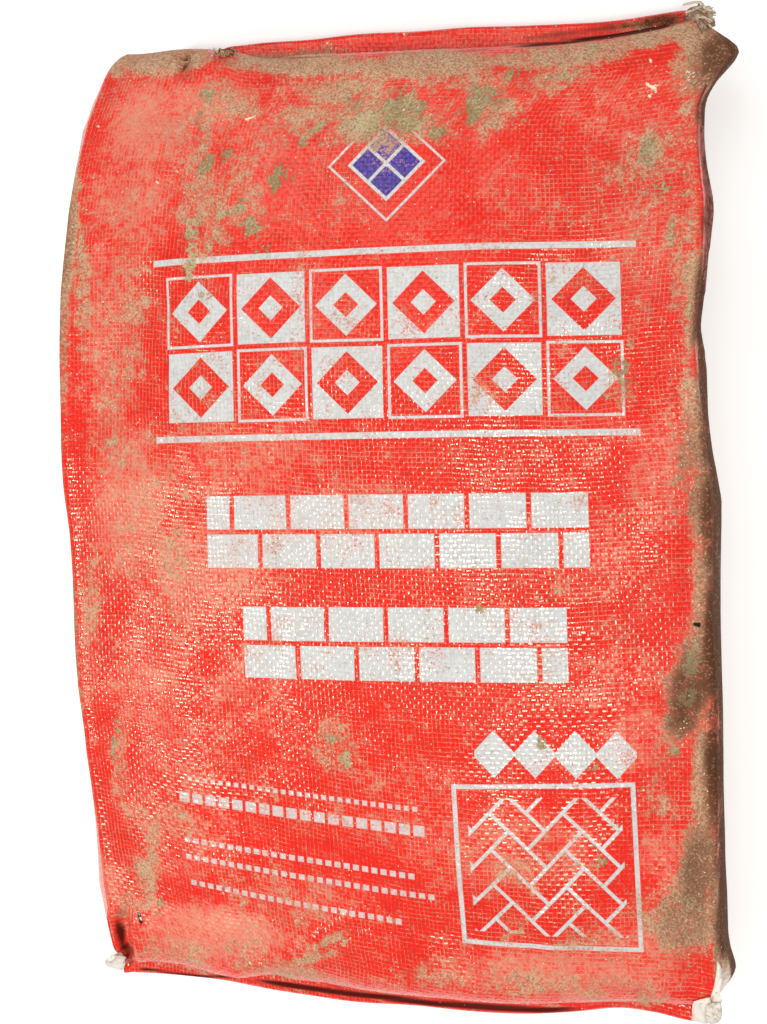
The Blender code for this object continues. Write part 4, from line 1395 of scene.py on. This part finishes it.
def chain_stitch(hem, end, x_range):
    """The closing seam of one hem: a needle thread in the fold and a chain of loops under it."""
    count = int((x_range[1] - x_range[0]) / STITCH)
    xs = x_range[0] + np.arange(count * STITCH_STEPS + 1) * STITCH / STITCH_STEPS
    y = through(hem, xs + MIDDLE[0]) - MIDDLE[1] - end * SEAM_INSET
    turn = 2 * math.pi * (np.arange(len(xs)) % STITCH_STEPS) / STITCH_STEPS
    upper = np.stack([xs, y, HEM_HEIGHT - FOLD_RADIUS + NEEDLE_WAVE * np.cos(turn)], 1)
    under_z = HEM_HEIGHT - 2 * FOLD_RADIUS - HEM_HALF - LOOP_DROP
    strands = [tube(upper, NEEDLE_THREAD)]
    for sign in (1, -1):
        loop = [xs, y + sign * LOOP_HALF * np.sin(turn), under_z + LOOP_WAVE * np.cos(2 * turn)]
        strands.append(tube(np.stack(loop, 1), LOOP_THREAD))
    return strands


# Loose bits of cloth and thread: (pixel across, pixel down, height over the cloth in millimetres),
# half width in millimetres.
WIDE_TAPES = (
    (((686, 17, -1), (698, 13, 0), (707, 19, 0), (713, 27, 0)), 3.0),
    (((686, 14, -1), (697, 9, 0), (706, 11, 1), (711, 20, 0)), 2.4),
    (((686, 20, -2), (699, 19, -1), (707, 26, -1), (710, 32, -2)), 2.2),
    (((685, 13, 0), (695, 9, 2), (703, 5, 4), (697, 2, 6), (683, 5, 6)), 0.9),
)
WIDE_TAPE_SHADES = (0.9, 0.7, 0.9, 0.3)
FRAY_COUNT, FRAY_SEED = 22, 11
CURLED_BITS = (
    (((126, 958, 1), (115, 957, 3), (108, 960, 4)), 1.6),
    (((122, 951, 1), (116, 955, 3), (110, 961, 5)), 1.3),
)
CORNER_PATCH = ((121, 953, 1), (125, 962, 1), (122, 970, 0), (113, 968, 1), (106, 965, 2),
                (106, 959, 4), (113, 955, 4))
LEFT_FLAP = ((693, 1003, 2), (696, 1001, 2), (703, 999, 3), (710, 998, 3), (711, 1004, 3),
             (709, 1014, 2), (709, 1021, 1), (706, 1024, 1), (699, 1022, 1), (694, 1020, 1),
             (692, 1012, 2))
RIGHT_FLAP = ((706, 1008, 4), (710, 1004, 4), (715, 1003, 5), (721, 1004, 5), (722, 1012, 5),
              (721, 1019, 4), (717, 1023, 3), (710, 1024, 3), (706, 1019, 3))
SIDE_FLAP = ((717, 962, 0), (721, 968, 0), (722, 980, 0), (720, 992, 1), (722, 1002, 3),
             (716, 1005, 3), (710, 1002, 2), (713, 990, 0), (716, 976, 0))
CORNER_SHADES, FLAP_SHADES = (0.2, 0.4, 0.3), (0.0, 0.55, 0.25)
KNOT_COUNT, KNOT_SEED = 13, 5
# How thick a flap of cloth is and how high its wave, and how many points follow each of its corners
FLAP_CLOTH, FLAP_WAVE = 0.0005, 0.0009
CURVE_STEPS = 4


def frayed_tapes():
    """Single tapes that fan out from the hem's right end."""
    toss = np.random.default_rng(FRAY_SEED)
    bits = []
    for t in np.linspace(0, 1, FRAY_COUNT):
        jog = toss.uniform(-1, 1, 8)
        end_x, end_y = 703 + 12 * math.sin(math.pi * t ** 0.8), 3 + 30 * t
        middle_x, middle_y = 698 + jog[0], 8 + 13 * t + jog[1]
        path = ((686, 11 + 9 * t, -1),
                (middle_x, middle_y, 1 + abs(jog[2])),
                ((middle_x + end_x) / 2 + jog[3], (middle_y + end_y) / 2 - 2 + jog[4],
                 2 + 2 * abs(jog[5])),
                (end_x + 2 * jog[6], end_y + 2 * jog[7], 1 + 3 * abs(jog[3])))
        bits.append((path, 0.5 + 0.35 * abs(jog[4])))
    return bits, toss.uniform(0, 1, FRAY_COUNT)


def knotted_ends():
    """The tangle of thread ends, each with its own bends, where the top seam starts."""
    toss = np.random.default_rng(KNOT_SEED)
    bits = []
    for start in np.linspace(208, 229, KNOT_COUNT):
        jog = toss.uniform(-1, 1, 9)
        path = tuple((start + k * 3.0 + jog[k], 52 + 4.5 * jog[4 + k], 3 + 2.5 * abs(jog[5 - k]))
                     for k in range(4))
        bits.append((path, 0.36 + 0.12 * jog[8]))
    return bits, toss.permutation(np.linspace(0, 1, KNOT_COUNT))


def on_cloth(spots, px, py, lift):
    """The point that the photograph shows at a pixel, lying on the cloth or a little over it."""
    cloth = spots[2].reshape(-1)[nearest(spots, px, py, 4)].max()
    return from_pixel(px, py, cloth + lift / 1000)


def curve_through(knots, steps):
    """Points on a smooth curve through knots in space, at steps counted in knots."""
    return np.stack([through(list(enumerate(knots[:, k])), steps) for k in range(3)], 1)


def strand(spots, path, half, flat):
    """A short bit that follows pixels of the photograph, at heights over the nearest cloth."""
    knots = np.array([on_cloth(spots, *p) for p in path])
    steps = np.linspace(0, len(knots) - 1, CURVE_STEPS * len(knots))
    curve = curve_through(knots, steps)
    ends = np.minimum(steps, steps[-1] - steps)
    return tube(curve, half / 1000 * (0.55 + 0.45 * smooth(0, 0.5, ends)), 6, flat)


def cloth_patch(spots, flap):
    """A small flap of cloth inside an outline that runs clockwise in the picture."""
    corners = np.array([on_cloth(spots, *p) for p in flap])
    count = CURVE_STEPS * len(corners)
    rim = curve_through(np.tile(corners, (3, 1)), np.arange(count) / CURVE_STEPS + len(corners))
    middle = rim.mean(axis=0)
    inner = middle + (rim - middle) * 0.6
    inner[:, 2] += FLAP_WAVE * np.sin(np.arange(count) * 0.7)
    top = np.concatenate([rim, inner, [middle]])
    under = top - np.array([0, 0, FLAP_CLOTH])
    faces = []
    for k in range(count):
        m, base = (k + 1) % count, len(top)
        upper = [(m, k, count + k, count + m), (count + m, count + k, 2 * count)]
        faces += upper + [tuple(base + v for v in face[::-1]) for face in upper]
        faces.append((k, m, base + m, base + k))
    return np.concatenate([top, under]), faces


def loose_bits(name, parts, shades, look):
    """A piece made of short bits, each with its own shade from pale to dark."""
    made = joined(name, parts)
    sizes = [len(points) for points, _ in parts]
    made.data.attributes.new("shade", "FLOAT", "POINT").data.foreach_set(
        "value", np.repeat(shades, sizes).astype(np.float32))
    made.data.materials.append(look)
    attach(made, "root")


sack, grid, layout = build_sack()
panel, spots = add_layers(sack, grid, layout)
sack.data.materials.append(cloth_material(panel, spots))
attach(sack, "root")
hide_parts("woven_sack", "adhesive_fill")

thread_look = bit_material("closing_thread_look", (900.0, 3.0, 0.6), thread_paint, 0.9, 0.0002)
for name, hem, end in (("top_closing_thread", TOP_HEM, 1), ("bottom_closing_thread", BOTTOM_HEM, -1)):
    seam = joined(name + "_stitched", chain_stitch(hem, end, SEAM_ENDS))
    seam.data.materials.append(thread_look)
    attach(seam, "root")
    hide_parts(name)

frayed_look, white_look = (
    bit_material(name, (1500.0, 2.0, 0.6), scrap_paint(pale, soiled), 0.75, 0.0002)
    for name, pale, soiled in (("frayed_tape_look", FRAYED, FRAYED_SOILED),
                               ("bare_cloth_look", SCRAP, SCRAP_SOILED)))
knot_look = bit_material("knotted_ends_look", (1200.0, 2.0, 0.6), knot_paint, 0.8, 0.0003)
tapes, tape_shades = frayed_tapes()
parts = [strand(spots, path, half, 0.14) for path, half in (*WIDE_TAPES, *tapes)]
loose_bits("top_hem_frayed_tapes", parts, (*WIDE_TAPE_SHADES, *tape_shades), frayed_look)
parts = [strand(spots, path, half, 0.2) for path, half in CURLED_BITS]
parts.append(cloth_patch(spots, CORNER_PATCH))
loose_bits("bottom_left_curled_corner", parts, CORNER_SHADES, white_look)
parts = [cloth_patch(spots, flap) for flap in (LEFT_FLAP, RIGHT_FLAP, SIDE_FLAP)]
loose_bits("bottom_right_cloth_flap", parts, FLAP_SHADES, white_look)
ends, end_shades = knotted_ends()
parts = [strand(spots, path, half, 1.0) for path, half in ends]
loose_bits("knotted_thread_ends", parts, end_shades, knot_look)


# The floor, the light and the camera


# Each light's name, place, the point it faces, its power in watts, its width and its colour
WARM, PLAIN = (1.0, 0.93, 0.84), (1.0, 1.0, 1.0)
LIGHTS = (
    ("gloss_right", (0.36, -0.42, 1.7), (0.05, -0.10, 0.05), 10.5, 0.15, WARM),
    ("gloss_left", (-1.10, -0.50, 1.4), (0.0, 0.0, 0.05), 11.0, 0.15, WARM),
    ("wide_top", (-0.3, 0.9, 1.7), (0.0, 0.0, 0.05), 5.0, 1.0, PLAIN),
    ("wide_right", (1.5, 0.3, 1.4), (0.0, 0.0, 0.05), 4.2, 1.2, PLAIN),
)
SKY_STRENGTH = 0.435
FLOOR_HALF, FLOOR_DROP = 4, 0.0002


def add_light(name, location, look_at, power, width, colour):
    data = bpy.data.lights.new(name, "AREA")
    data.size = width
    data.energy = power
    data.color = colour
    made = bpy.data.objects.new(name, data)
    made.location = location
    aim = Vector(look_at) - Vector(location)
    made.rotation_euler = aim.to_track_quat("-Z", "Y").to_euler()
    bpy.context.scene.collection.objects.link(made)


corners = [(x * FLOOR_HALF, y * FLOOR_HALF, 0) for x, y in ((-1, -1), (1, -1), (1, 1), (-1, 1))]
floor = mesh_object("floor", corners, [(0, 1, 2, 3)])
floor.location.z = -FLOOR_DROP
floor.data.materials.append(floor_material())
for light in LIGHTS:
    add_light(*light)
world = bpy.data.worlds.new("studio")
bpy.context.scene.world = world
world.use_nodes = True
world.node_tree.nodes["Background"].inputs[0].default_value = (*PLAIN, 1.0)
world.node_tree.nodes["Background"].inputs[1].default_value = SKY_STRENGTH

bpy.context.scene.view_settings.view_transform = "Standard"
add_camera()
